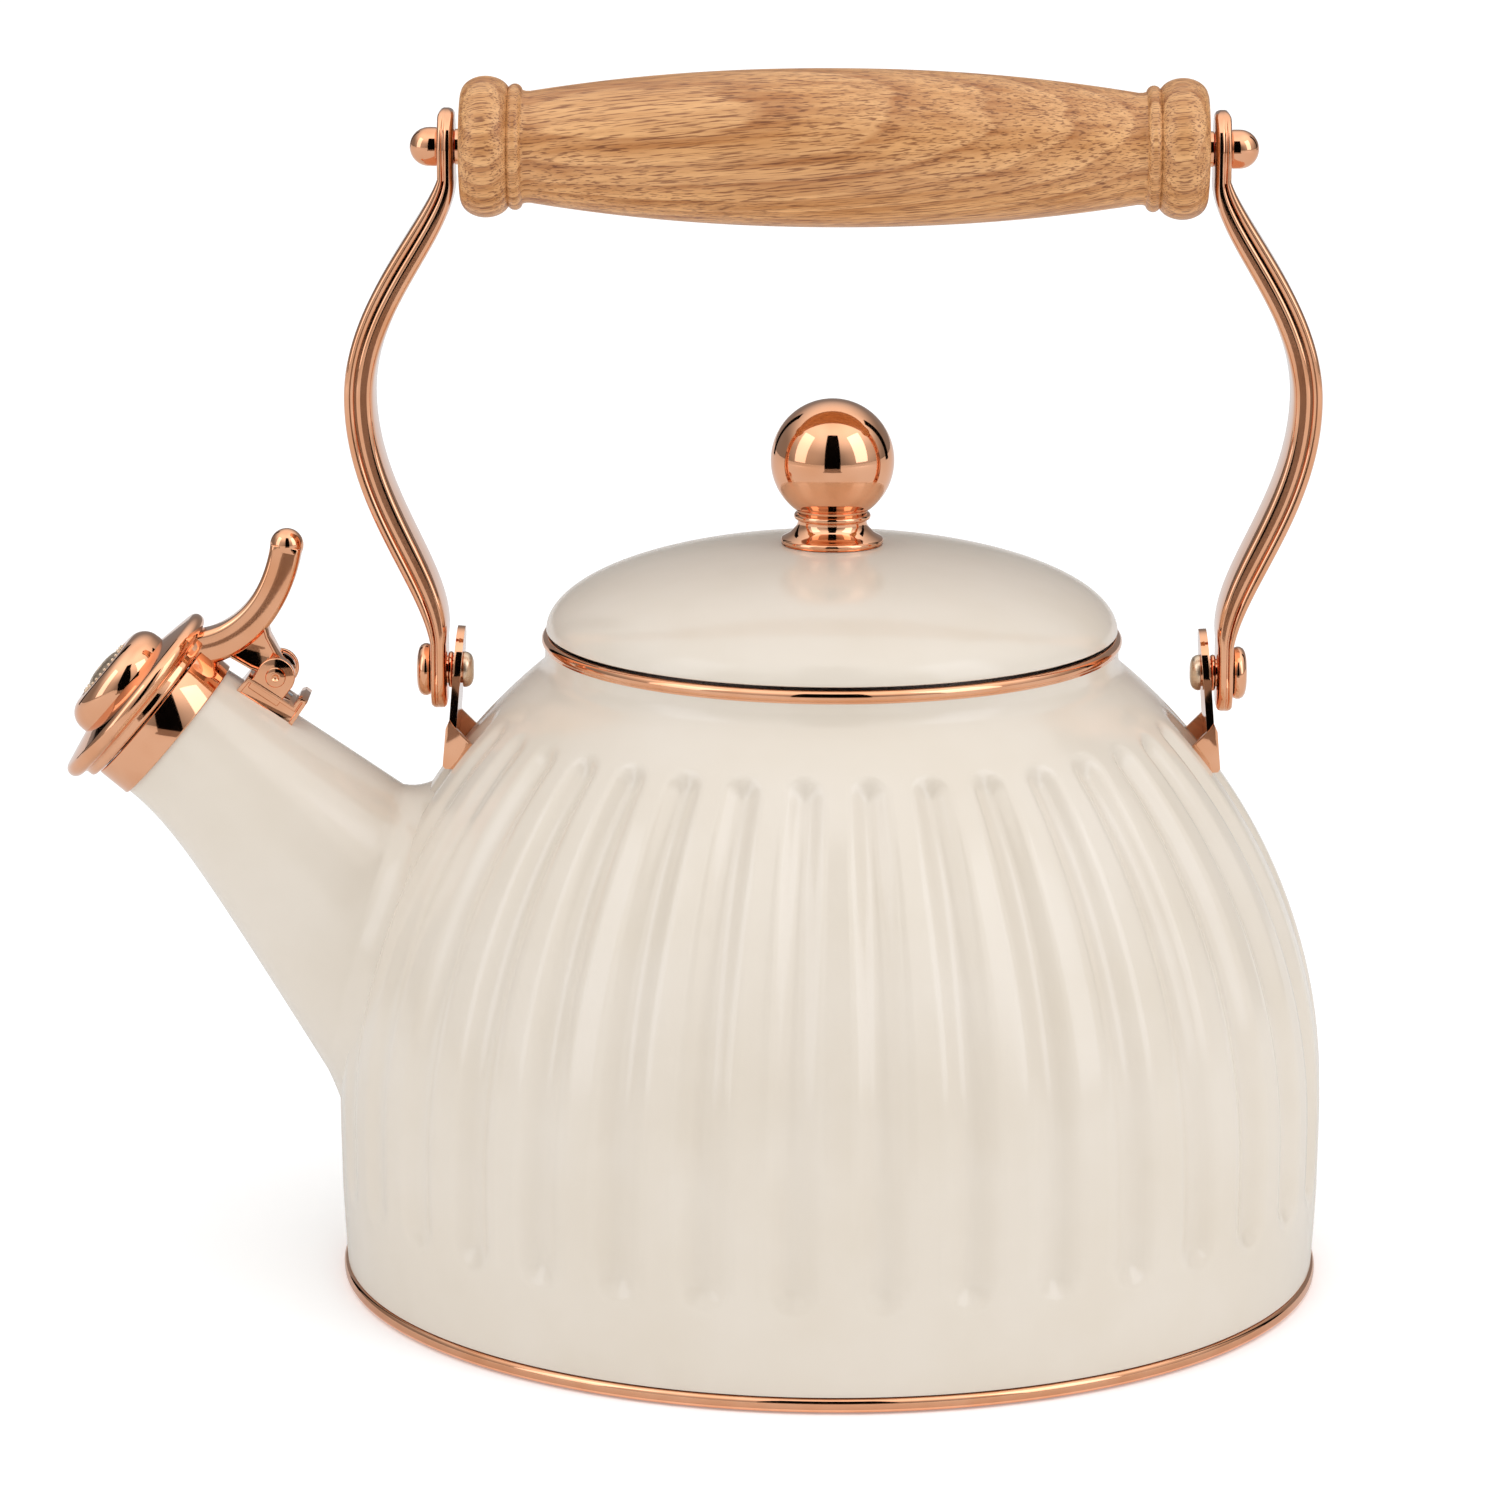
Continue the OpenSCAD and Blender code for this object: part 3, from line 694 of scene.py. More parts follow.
@dataclass
class KettleBody:
    """Fluted enamel shell with its foot ring and rolled mouth."""

    wide_r: float = 90.45
    wide_z: float = 34.0
    shoulder_arc: float = 102.2
    lower_arc: float = 430.0
    neck_r: float = 52.2
    fillet_r: float = 4.0
    mouth_z: float = 118.0
    foot_z: float = 3.0
    floor_z: float = 2.0
    hem_r: float = 87.4
    wall: float = 1.0
    flutes: int = 36
    flute_phase: float = 6.0
    flute_half: float = 3.3
    flute_depth: float = 1.85
    flute_edge: float = 1.6
    rows_below: float = 4.4
    rows_above: float = 7.6
    flute_low: float = 17.4
    flute_high: float = 106.0
    dense_z: float = 97.0
    columns_per_flute: int = 14
    calm_from: float = 44.0
    calm_to: float = 28.0
    calm_share: float = 0.4
    spout_hole_r: float = 17.0
    spout_hole_z: float = 62.0

    @property
    def shoulder_x(self) -> float:
        """Distance out of the centre of the shoulder's arc."""
        return self.wide_r - self.shoulder_arc

    @property
    def fillet_x(self) -> float:
        """Distance out of the centre of the neck's hollow curve."""
        return self.neck_r + self.fillet_r

    @property
    def fillet_z(self) -> float:
        """Height of the centre of the neck's hollow curve."""
        reach = self.shoulder_arc + self.fillet_r
        return self.wide_z + math.sqrt(reach ** 2 - (self.fillet_x - self.shoulder_x) ** 2)

    @property
    def shoulder_end(self) -> float:
        """Angle in degrees at which the shoulder meets the hollow curve."""
        return math.degrees(math.atan2(self.fillet_z - self.wide_z,
                                       self.fillet_x - self.shoulder_x))

    def radius_at(self, z: float) -> float:
        """Radius of the smooth outline at a height."""
        if z < self.wide_z:
            return self.wide_r - self.lower_arc + math.sqrt(
                self.lower_arc ** 2 - (z - self.wide_z) ** 2)
        return self.shoulder_x + math.sqrt(self.shoulder_arc ** 2 - (z - self.wide_z) ** 2)

    def side(self) -> list[Point]:
        """Outline of the side from the foot to the mouth, closer where the flutes end."""
        below, above = self.flute_low - self.rows_below, self.flute_low + self.rows_above
        heights = [mix(self.foot_z, below, i / 4) for i in range(5)]
        heights += [mix(below, above, i / 12) for i in range(1, 13)]
        heights += [mix(above, self.wide_z, i / 3) for i in range(1, 4)]
        points = [(self.radius_at(z), z) for z in heights]
        turn = self._angle_at(self.dense_z)
        points += arc((self.shoulder_x, self.wide_z), self.shoulder_arc, 0, turn, 24)[1:]
        points += arc((self.shoulder_x, self.wide_z), self.shoulder_arc, turn,
                      self.shoulder_end, 22)[1:]
        points += arc((self.fillet_x, self.fillet_z), self.fillet_r, 180 + self.shoulder_end,
                      180, 7)[1:]
        points.append((self.neck_r, self.mouth_z))
        return points

    def _angle_at(self, z: float) -> float:
        """Angle in degrees on the shoulder's arc at a height."""
        return math.degrees(math.asin((z - self.wide_z) / self.shoulder_arc))

    def flute_weight(self, place: Vector, lengths: Callable[[float], float]) -> float:
        """How deep the flute is at a point, from 0 on the land to 1 in the middle.

        The flutes are shallower beside the spout, so that its flare lies close.

        Args:
            place: The point, in metres.
            lengths: Gives the length along the outline at a height in millimetres.

        Returns:
            The share of the full depth.
        """
        radius = math.hypot(place.x, place.y) / MM
        z = place.z / MM
        if z < self.foot_z or z > self.flute_high + 1 or radius < self.neck_r + 2:
            return 0.0
        pitch = 360 / self.flutes
        angle = math.degrees(math.atan2(place.x, -place.y)) - self.flute_phase
        off = (angle + pitch / 2) % pitch - pitch / 2
        across = radius * math.radians(abs(off))
        half = radius * math.radians(self.flute_half)
        along = lengths(z)
        low, high = lengths(self.flute_low) + half, lengths(self.flute_high) - half
        past = max(low - along, along - high, 0)
        share = min(math.hypot(across, past) / half, 1.0)
        from_spout = abs(math.degrees(math.atan2(place.y, -place.x)))
        near = (self.calm_from - from_spout) / (self.calm_from - self.calm_to)
        calm = mix(1.0, self.calm_share, min(max(near, 0.0), 1.0))
        return calm * math.cos(share * math.pi / 2) ** self.flute_edge

    def make_shell(self) -> bpy.types.Object:
        """Spin the outline, press the flutes in, give it a wall and cut the spout's hole."""
        side = self.side()
        floor = [(0, self.floor_z), (30, self.floor_z), (60, self.floor_z),
                 (self.hem_r, self.floor_z), (self.hem_r, self.foot_z)]
        shell = turned("enamel_shell", UPRIGHT, floor + side, self.flutes * self.columns_per_flute)
        heights = [z for _, z in side]
        runs = [0.0]
        for (r0, z0), (r1, z1) in zip(side, side[1:]):
            runs.append(runs[-1] + math.hypot(r1 - r0, z1 - z0))

        def lengths(z: float) -> float:
            """Length along the outline at a height."""
            for i in range(len(heights) - 1):
                if z <= heights[i + 1]:
                    step = heights[i + 1] - heights[i]
                    return mix(runs[i], runs[i + 1], (z - heights[i]) / step)
            return runs[-1]

        group = shell.vertex_groups.new(name="flutes")
        for vertex in shell.data.vertices:
            weight = self.flute_weight(vertex.co, lengths)
            if weight > 0:
                group.add([vertex.index], weight, "REPLACE")
        finish_with(shell, "DISPLACE", strength=-self.flute_depth * MM, mid_level=0.0,
                    vertex_group="flutes")
        finish_with(shell, "SOLIDIFY", thickness=self.wall * MM, offset=-1.0,
                    use_even_offset=True)
        hole = Axis((0, 0, self.spout_hole_z), (-1, 0, 0), (0, 0, 1))
        carve(shell, rod("hole", hole, self.spout_hole_r, 60, 110))
        return smooth(shell, 40)

    def make_foot_ring(self) -> bpy.types.Object:
        """Turn the rounded ring round the foot."""
        ring_r, low, high, edge = 90.0, 0.3, 2.8, 0.9
        profile = [(self.hem_r, low), *arc((ring_r - edge, low + edge), edge, -90, 0, 6),
                   *arc((ring_r - edge, high - edge), edge, 0, 90, 6), (self.hem_r, high)]
        return smooth(turned("foot_ring", UPRIGHT, profile, 256, closed=True))

    def make_mouth_bead(self) -> bpy.types.Object:
        """Turn the rolled bead that grips the edge of the neck."""
        centre, radius, lip_z, gap = (51.72, 118.45), 1.1, 117.2, 0.02
        inside, outside = self.neck_r - self.wall - gap, self.neck_r + gap
        profile = [*arc(centre, radius, -58, 238, 30),
                   (inside, lip_z), (inside, self.mouth_z + gap),
                   (outside, self.mouth_z + gap), (outside, lip_z)]
        return smooth(turned("mouth_bead", UPRIGHT, profile, 192, closed=True))

    def build(self, palette: Palette) -> None:
        """Make and dress the body."""
        body = Moving.KETTLE
        fit(self.make_shell(), palette, Slot.ENAMEL, body, "body_shell")
        fit(self.make_foot_ring(), palette, Slot.COPPER, body, "base_ring")
        fit(self.make_mouth_bead(), palette, Slot.COPPER, body, "mouth_ring")


# ---------------------------------------------------------------- the spout

SPOUT_TILT = math.radians(40)
TIP = Axis((-119.5, 0, 100.7), (-math.cos(SPOUT_TILT), 0, math.sin(SPOUT_TILT)),
           (math.sin(SPOUT_TILT), 0, math.cos(SPOUT_TILT)))


def tip_point(radius: float, along: float) -> Point:
    """X and Z in millimetres of a place given from the spout's mouth."""
    place = TIP.at(radius, along) / MM
    return place.x, place.z


@dataclass
class Spout:
    """Enamel spout that flares on to the body, and its copper collar."""

    mouth_r: float = 14.3
    root_top: Point = (-70.0, 84.4)
    root_under: Point = (-86.0, 26.0)
    under_corner: Point = (-119.8, 82.3)
    under_pull: float = 0.92
    root_half: float = 23.2
    sides: int = 96
    wall: float = 1.0
    rings: int = 30
    flare: float = 4.2
    flare_rings: int = 6
    lap: float = 2.0
    hollow: float = 0.45
    sink: float = 0.8
    collar_len: float = 6.2
    collar_proud: float = 0.65

    def top(self, t: float) -> Point:
        """Place on the straight top edge, from 0 at the mouth to 1 inside the body."""
        start = tip_point(self.mouth_r, 0)
        return mix(start[0], self.root_top[0], t), mix(start[1], self.root_top[1], t)

    def under(self, t: float) -> Point:
        """Place on the curved underside."""
        start = tip_point(-self.mouth_r, 0)
        corner = self.under_corner
        pull = self.under_pull
        return bezier([start,
                       (mix(start[0], corner[0], pull), mix(start[1], corner[1], pull)),
                       (mix(self.root_under[0], corner[0], pull),
                        mix(self.root_under[1], corner[1], pull)),
                       self.root_under], t)

    def tube_point(self, t: float, angle: float) -> Vector:
        """Place in millimetres on the tube, at a share of its length and an angle round it."""
        top, under = self.top(t), self.under(t)
        half = math.hypot(top[0] - under[0], top[1] - under[1]) / 2
        up = Vector((top[0] - under[0], 0, top[1] - under[1])).normalized()
        middle = Vector(((top[0] + under[0]) / 2, 0, (top[1] + under[1]) / 2))
        width = mix(self.mouth_r, self.root_half, t)
        return middle + up * half * math.cos(angle) + Vector((0, width * math.sin(angle), 0))

    def meets_body(self, body: "KettleBody", angle: float) -> float:
        """Share of the length at which a line of the tube reaches the shell."""
        low, high = 0.0, 1.0
        for _ in range(24):
            middle = (low + high) / 2
            place = self.tube_point(middle, angle)
            if math.hypot(place.x, place.y) > body.radius_at(place.z):
                low = middle
            else:
                high = middle
        return low

    def strand(self, body: "KettleBody", angle: float) -> list[Vector]:
        """One lengthwise line of the spout, from inside the collar to the shell.

        Args:
            body: The shell that the flare lies on.
            angle: Angle round the tube.

        Returns:
            Its places in metres, from the mouth to the root.
        """
        meet = self.meets_body(body, angle)
        corner = self.tube_point(meet, angle)
        back = (self.tube_point(meet - 0.02, angle) - corner).normalized()
        side = self.tube_point(meet, angle + 0.02) - self.tube_point(meet, angle - 0.02)
        away = back.cross(side)
        if away.dot(self.tube_point(meet, angle + math.pi) - corner) > 0:
            away.negate()
        radial = Vector((corner.x, corner.y, 0)).normalized()
        slope = (body.radius_at(corner.z + 1) - body.radius_at(corner.z - 1)) / 2
        normal = (radial - Vector((0, 0, slope))).normalized()
        away = (away - normal * away.dot(normal)).normalized()
        spread = corner + away * self.flare
        outward = Vector((spread.x, spread.y, 0)).normalized()
        foot = outward * (body.radius_at(spread.z) - self.sink) + Vector((0, 0, spread.z))
        leave = corner + back * self.flare
        share = meet - self.flare / (self.tube_point(0, angle) - corner).length * meet
        lap = self.tube_point(0, angle) + self.lap * Vector(TIP.along)
        line = [lap] + [self.tube_point(share * i / self.rings, angle)
                        for i in range(self.rings)]
        heel = leave.lerp(foot, 0.5).lerp(corner, self.hollow)
        for i in range(self.flare_rings + 1):
            u = i / self.flare_rings
            line.append(leave.lerp(heel, u).lerp(heel.lerp(foot, u), u))
        return [p * MM for p in line] + [(foot - normal * body.flute_depth) * MM]

    def make_tube(self, body: "KettleBody") -> bpy.types.Object:
        """Lay a sheet along the spout's lines, roll it shut and give it a wall.

        The flare has to follow the shell, which no edit tool does, so the points of
        the sheet are put on their lines one by one.
        """
        strands = [self.strand(body, FULL_TURN * i / self.sides) for i in range(self.sides)]
        strands.append(strands[0])
        put_down()
        count = len(strands[0])
        bpy.ops.mesh.primitive_grid_add(x_subdivisions=self.sides, y_subdivisions=count - 1,
                                        size=MM)
        tube = bpy.context.active_object
        tube.name = "enamel_spout"
        tube.data.name = "enamel_spout"
        for vertex, place in zip(tube.data.vertices,
                                 (strand[k] for k in range(count) for strand in strands)):
            vertex.co = place
        bpy.ops.object.mode_set(mode="EDIT")
        bpy.ops.mesh.select_all(action="SELECT")
        bpy.ops.mesh.remove_doubles(threshold=WELD)
        bpy.ops.mesh.normals_make_consistent(inside=False)
        put_down()
        finish_with(tube, "SOLIDIFY", thickness=self.wall * MM, offset=-1.0)
        return smooth(tube, 50)

    def make_collar(self) -> bpy.types.Object:
        """Turn the crisp collar at the mouth."""
        bore, outer = self.mouth_r - self.wall, self.mouth_r + self.collar_proud
        profile = [(bore, self.lap), (self.mouth_r + 0.03, self.lap), (self.mouth_r + 0.03, 0),
                   (outer, 0), (outer, self.collar_len), (bore, self.collar_len)]
        collar = turned("spout_collar_band", TIP, profile, FINE, closed=True)
        soften(collar, 0.22)
        return smooth(collar)

    def build(self, palette: Palette, body: KettleBody) -> None:
        """Make and dress the spout."""
        fit(self.make_tube(body), palette, Slot.ENAMEL, Moving.KETTLE, "spout_tube")
        fit(self.make_collar(), palette, Slot.COPPER, Moving.KETTLE, "spout_collar")


PIN: Point = (-101.1, 111.6)
PIN_AXIS = Axis((PIN[0], 0, PIN[1]), (0, 1, 0), (0, 0, 1))


@dataclass
class Hinge:
    """Saddle on the spout that carries the cap's pin between two ears."""

    front: float = 3.1
    back: float = 15.0
    half: float = 5.2
    top: float = 2.4
    ear_r: float = 3.5
    ear_in: float = 3.9
    ear_out: float = 5.0
    lip_t: float = 1.7
    lip_h: float = 4.6
    low: float = -1.45
    rim: float = 0.65
    recess: float = 0.35
    seat_gap: float = 0.9
    knuckle_room: float = 3.65
    head_r: float = 1.85

    def saddle_axis(self, spout: Spout) -> Axis:
        """Axis down the top of the spout, with its radius standing up from it."""
        start = tip_point(spout.mouth_r, 0)
        along = Vector((spout.root_top[0] - start[0], 0, spout.root_top[1] - start[1]))
        along.normalize()
        return Axis((start[0], 0, start[1]), tuple(along), (-along.z, 0, along.x))

    def make_saddle(self, spout: Spout) -> bpy.types.Object:
        """Push the saddle's side view through, hollow it for the knuckle and round it."""
        axis = self.saddle_axis(spout)
        lip = self.back - self.lip_t
        side = [(self.low, self.front), (self.top, self.front + 0.4), (self.top, lip),
                (self.lip_h - 0.6, lip), (self.lip_h, lip + 0.5), (self.lip_h, self.back),
                (self.low, self.back)]
        half = Vector((0, self.half, 0)) * MM
        places = [axis.at(r, s) - half for r, s in side]
        piece = Workpiece("hinge_saddle", places[0])
        piece.outline(places)
        piece.thicken(2 * half)
        piece.choose_faces(lambda p: abs(p.normal.y) > 0.9)
        piece.sink(self.rim, 0.12, self.recess)
        saddle = piece.done()
        bed_r = spout.mouth_r + self.seat_gap
        under = Axis(tuple(axis.at(-bed_r, 0) / MM), axis.along, axis.out)
        carve(saddle, rod("hollow", under, bed_r, -5, 25, 96))
        carve(saddle, rod("room", PIN_AXIS, self.knuckle_room, -self.ear_in, self.ear_in))
        soften(saddle, 0.3, 3, 35)
        return smooth(saddle)

    def make_ear(self, spout: Spout) -> bpy.types.Object:
        """Draw one ear, round over the pin and standing on the saddle."""
        axis = self.saddle_axis(spout)
        pin = Vector((PIN[0], 0, PIN[1]))
        start = Vector(axis.start)
        height = (pin - start).dot(Vector(axis.out))
        reach = (pin - start).dot(Vector(axis.along))
        outline = arc((height, reach), self.ear_r, -90, 90, 24)
        outline += [(0.6, reach + self.ear_r - 0.3), (0.6, reach - self.ear_r + 0.3)]
        edge = Vector((0, self.ear_out, 0)) * MM
        places = [axis.at(r, s) - edge for r, s in outline]
        piece = Workpiece("hinge_ear_front", places[0])
        piece.outline(places)
        piece.thicken(Vector((0, self.ear_out - self.ear_in, 0)) * MM)
        ear = piece.done()
        soften(ear, 0.28, 3, 40)
        return smooth(ear)

    def make_pin(self) -> bpy.types.Object:
        """Turn the pin with its two peened heads."""
        axis = Axis(PIN_AXIS.start, (0, -1, 0), PIN_AXIS.out)
        out = self.ear_out + 0.02
        head = [(1.15, out), (self.head_r, out), (self.head_r, out + 0.3),
                (self.head_r - 0.15, out + 0.5), (1.2, out + 0.62), (0.7, out + 0.6),
                (0.45, out + 0.4), (0.25, out + 0.25), (0, out + 0.22)]
        other = [(r, -s) for r, s in reversed(head)]
        return smooth(turned("hinge_pin_peened", axis, other + head, 48))

    def build(self, palette: Palette, spout: Spout) -> None:
        """Make and dress the hinge."""
        body = Moving.KETTLE
        fit(self.make_saddle(spout), palette, Slot.COPPER, body, "hinge_base")
        ear = self.make_ear(spout)
        other = copied(ear, "hinge_ear_rear")
        step = (self.ear_in + self.ear_out) * MM
        bpy.ops.transform.translate(value=(0, step, 0))
        put_down()
        fit(ear, palette, Slot.COPPER, body, "hinge_base")
        fit(other, palette, Slot.COPPER, body, "hinge_base")
        fit(self.make_pin(), palette, Slot.COPPER, body, "hinge_pin")


# ---------------------------------------------------------------- whistle cap

@dataclass
class WhistleCap:
    """Sprung cap over the spout: flange, thumb lever, knuckle and whistle."""

    root: Point = (-117.4, 115.9)
    end: Point = (-99.15, 135.2)
    pulls: tuple[Point, Point] = ((-107.5, 116.2), (-100.8, 124.6))
    root_thick: float = 6.4
    end_thick: float = 5.7
    width: float = 6.4
    ball_r: float = 3.05
    corner: float = 0.75
    steps: int = 30

    def make_flange(self) -> bpy.types.Object:
        """Turn the flange with its plug, rounded rim and coned face."""
        rim = arc((17.3, 10.05), 1.5, -75, 78, 14)
        step = arc((15.7, 7.2), 0.65, -90, 10, 6)
        profile = [(2.5, 5.2), (9.3, 5.2), (9.6, 5.5), (9.6, 7.22), (13.5, 7.22), (13.5, 6.6),
                   (13.7, 6.55), *step, (16.35, 8.0), (16.55, 8.35), *rim, (11.3, 12.75),
                   (10.7, 12.95), (2.5, 12.95)]
        return smooth(turned("cap_flange", TIP, profile, 160, closed=True), 25)

    def make_lever(self) -> bpy.types.Object:
        """Carry a bevelled section up the lever's curve and join the ball to its end."""
        half_t, half_w, cut = self.root_thick / 2, self.width / 2, self.corner
        section = [(half_t, half_w - cut), (half_t, cut - half_w), (half_t - cut, -half_w),
                   (cut - half_t, -half_w), (-half_t, cut - half_w), (-half_t, half_w - cut),
                   (cut - half_t, half_w), (half_t - cut, half_w)]
        places = [metres(self.root[0] + u, v, self.root[1]) for u, v in section]
        piece = Workpiece("thumb_lever", places[0])
        piece.outline(places)
        bpy.ops.mesh.edge_face_add()
        piece.choose(lambda v: True)
        lean = self._lean(0.0)
        about = metres(self.root[0], 0, self.root[1])
        bpy.ops.transform.rotate(value=-lean, orient_axis="Y", center_override=about)
        sweep = Sweep(piece, self.root, self.root_thick, self.width)
        sweep.lean = lean
        for i in range(1, self.steps + 1):
            t = i / self.steps
            thick = mix(self.root_thick, self.end_thick, min(1.0, 1.6 * t))
            sweep.step(self._place(t), self._lean(t), thick, self.width - 0.6 * t)
        piece.face_out()
        lever = piece.done()
        soften(lever, 0.3, 3, 30)
        tip = ball("lever_ball", (self.end[0], 0, self.end[1]), self.ball_r)
        carve(lever, tip, "UNION")
        return smooth(lever, 30)

    def _place(self, t: float) -> Point:
        """Place on the lever's centre line."""
        return bezier([self.root, *self.pulls, self.end], t)

    def _lean(self, t: float) -> float:
        """Lean of the lever's centre line towards +X."""
        low, high = self._place(max(t - 0.01, 0)), self._place(min(t + 0.01, 1))
        return math.atan2(high[0] - low[0], high[1] - low[1])

    def make_fin(self) -> bpy.types.Object:
        """Draw the web between lever and knuckle, and sink its two faces."""
        outline = [(-112.0, 117.0), (-109.4, 114.6), (-106.0, 112.6), (-101.9, 111.0),
                   (-99.2, 113.2), (-100.9, 115.6), (-102.4, 118.6), (-103.1, 121.4),
                   (-104.4, 122.6)]
        half = 2.7
        places = [metres(x, -half, z) for x, z in outline]
        piece = Workpiece("lever_web", places[0])
        piece.outline(places)
        piece.thicken(Vector((0, 2 * half, 0)) * MM)
        piece.choose_faces(lambda p: abs(p.normal.y) > 0.9)
        piece.sink(0.6, 0.15, 0.6)
        web = piece.done()
        soften(web, 0.15, 2, 40)
        return smooth(web)

    def make_knuckle(self) -> bpy.types.Object:
        """Turn the knuckle round the pin."""
        bore, waist, outer, half = 1.3, 2.6, 3.2, 3.75
        side = [(waist, 1.45), (outer, 1.6), (outer, half - 0.3), (outer - 0.3, half), (bore, half)]
        other = [(r, -s) for r, s in reversed(side)]
        return smooth(turned("cap_knuckle", PIN_AXIS, other + side, ROUND, closed=True), 25)

    def make_housing(self) -> bpy.types.Object:
        """Turn the domed whistle housing with its round window."""
        profile = [(8.7, 12.82), (10.9, 12.82), (10.95, 13.3), *arc((7.3, 13.9), 3.6, 0, 84, 14),
                   (6.9, 17.55), (6.3, 17.5), (6.0, 17.3), (5.85, 16.9), (5.85, 16.1),
                   (8.1, 16.05), (8.7, 15.3)]
        return smooth(turned("whistle_dome", TIP, profile, 128, closed=True), 25)

    def make_insert(self) -> bpy.types.Object:
        """Turn the pale disc in the window, with a beaded rim and the whistle's hole."""
        profile = [(1.2, 16.1), (5.8, 16.1), (5.8, 17.35), (5.55, 17.55), (5.0, 17.6),
                   (4.75, 17.5), (4.5, 17.6), (3.2, 18.15), (1.9, 18.4), (1.45, 18.35),
                   (1.2, 18.1)]
        disc = turned("whistle_insert", TIP, profile, 96, closed=True)
        count, ring_r, bead_r, face = 28, 5.25, 0.3, 17.6
        beads = []
        for i in range(count):
            turn = FULL_TURN * i / count
            centre = TIP.at(ring_r * math.cos(turn), face)
            put_down()
            bpy.ops.mesh.primitive_uv_sphere_add(
                segments=10, ring_count=6, radius=bead_r * MM,
                location=centre + Vector((0, ring_r * math.sin(turn) * MM, 0)))
            bpy.ops.object.transform_apply(location=True, rotation=False, scale=False)
            beads.append(bpy.context.active_object)
        put_down()
        for bead in beads:
            bead.select_set(True)
        disc.select_set(True)
        bpy.context.view_layer.objects.active = disc
        bpy.ops.object.join()
        return smooth(disc, 35)

    def build(self, palette: Palette) -> None:
        """Make and dress the cap."""
        body = Moving.CAP
        for piece in (self.make_flange(), self.make_lever(), self.make_fin(),
                      self.make_knuckle()):
            fit(piece, palette, Slot.COPPER, body, "cap_casting")
        fit(self.make_housing(), palette, Slot.COPPER, body, "whistle_housing")
        fit(self.make_insert(), palette, Slot.PALE, body, "whistle_front_plate")


# ---------------------------------------------------------------- handle mounts

PIVOT_Z = 112.2
GRIP_Z = 207.9
PIVOT = Axis((0, 0, PIVOT_Z), (1, 0, 0), (0, 0, 1))
GRIP_AXIS = Axis((0, 0, GRIP_Z), (1, 0, 0), (0, 0, 1))


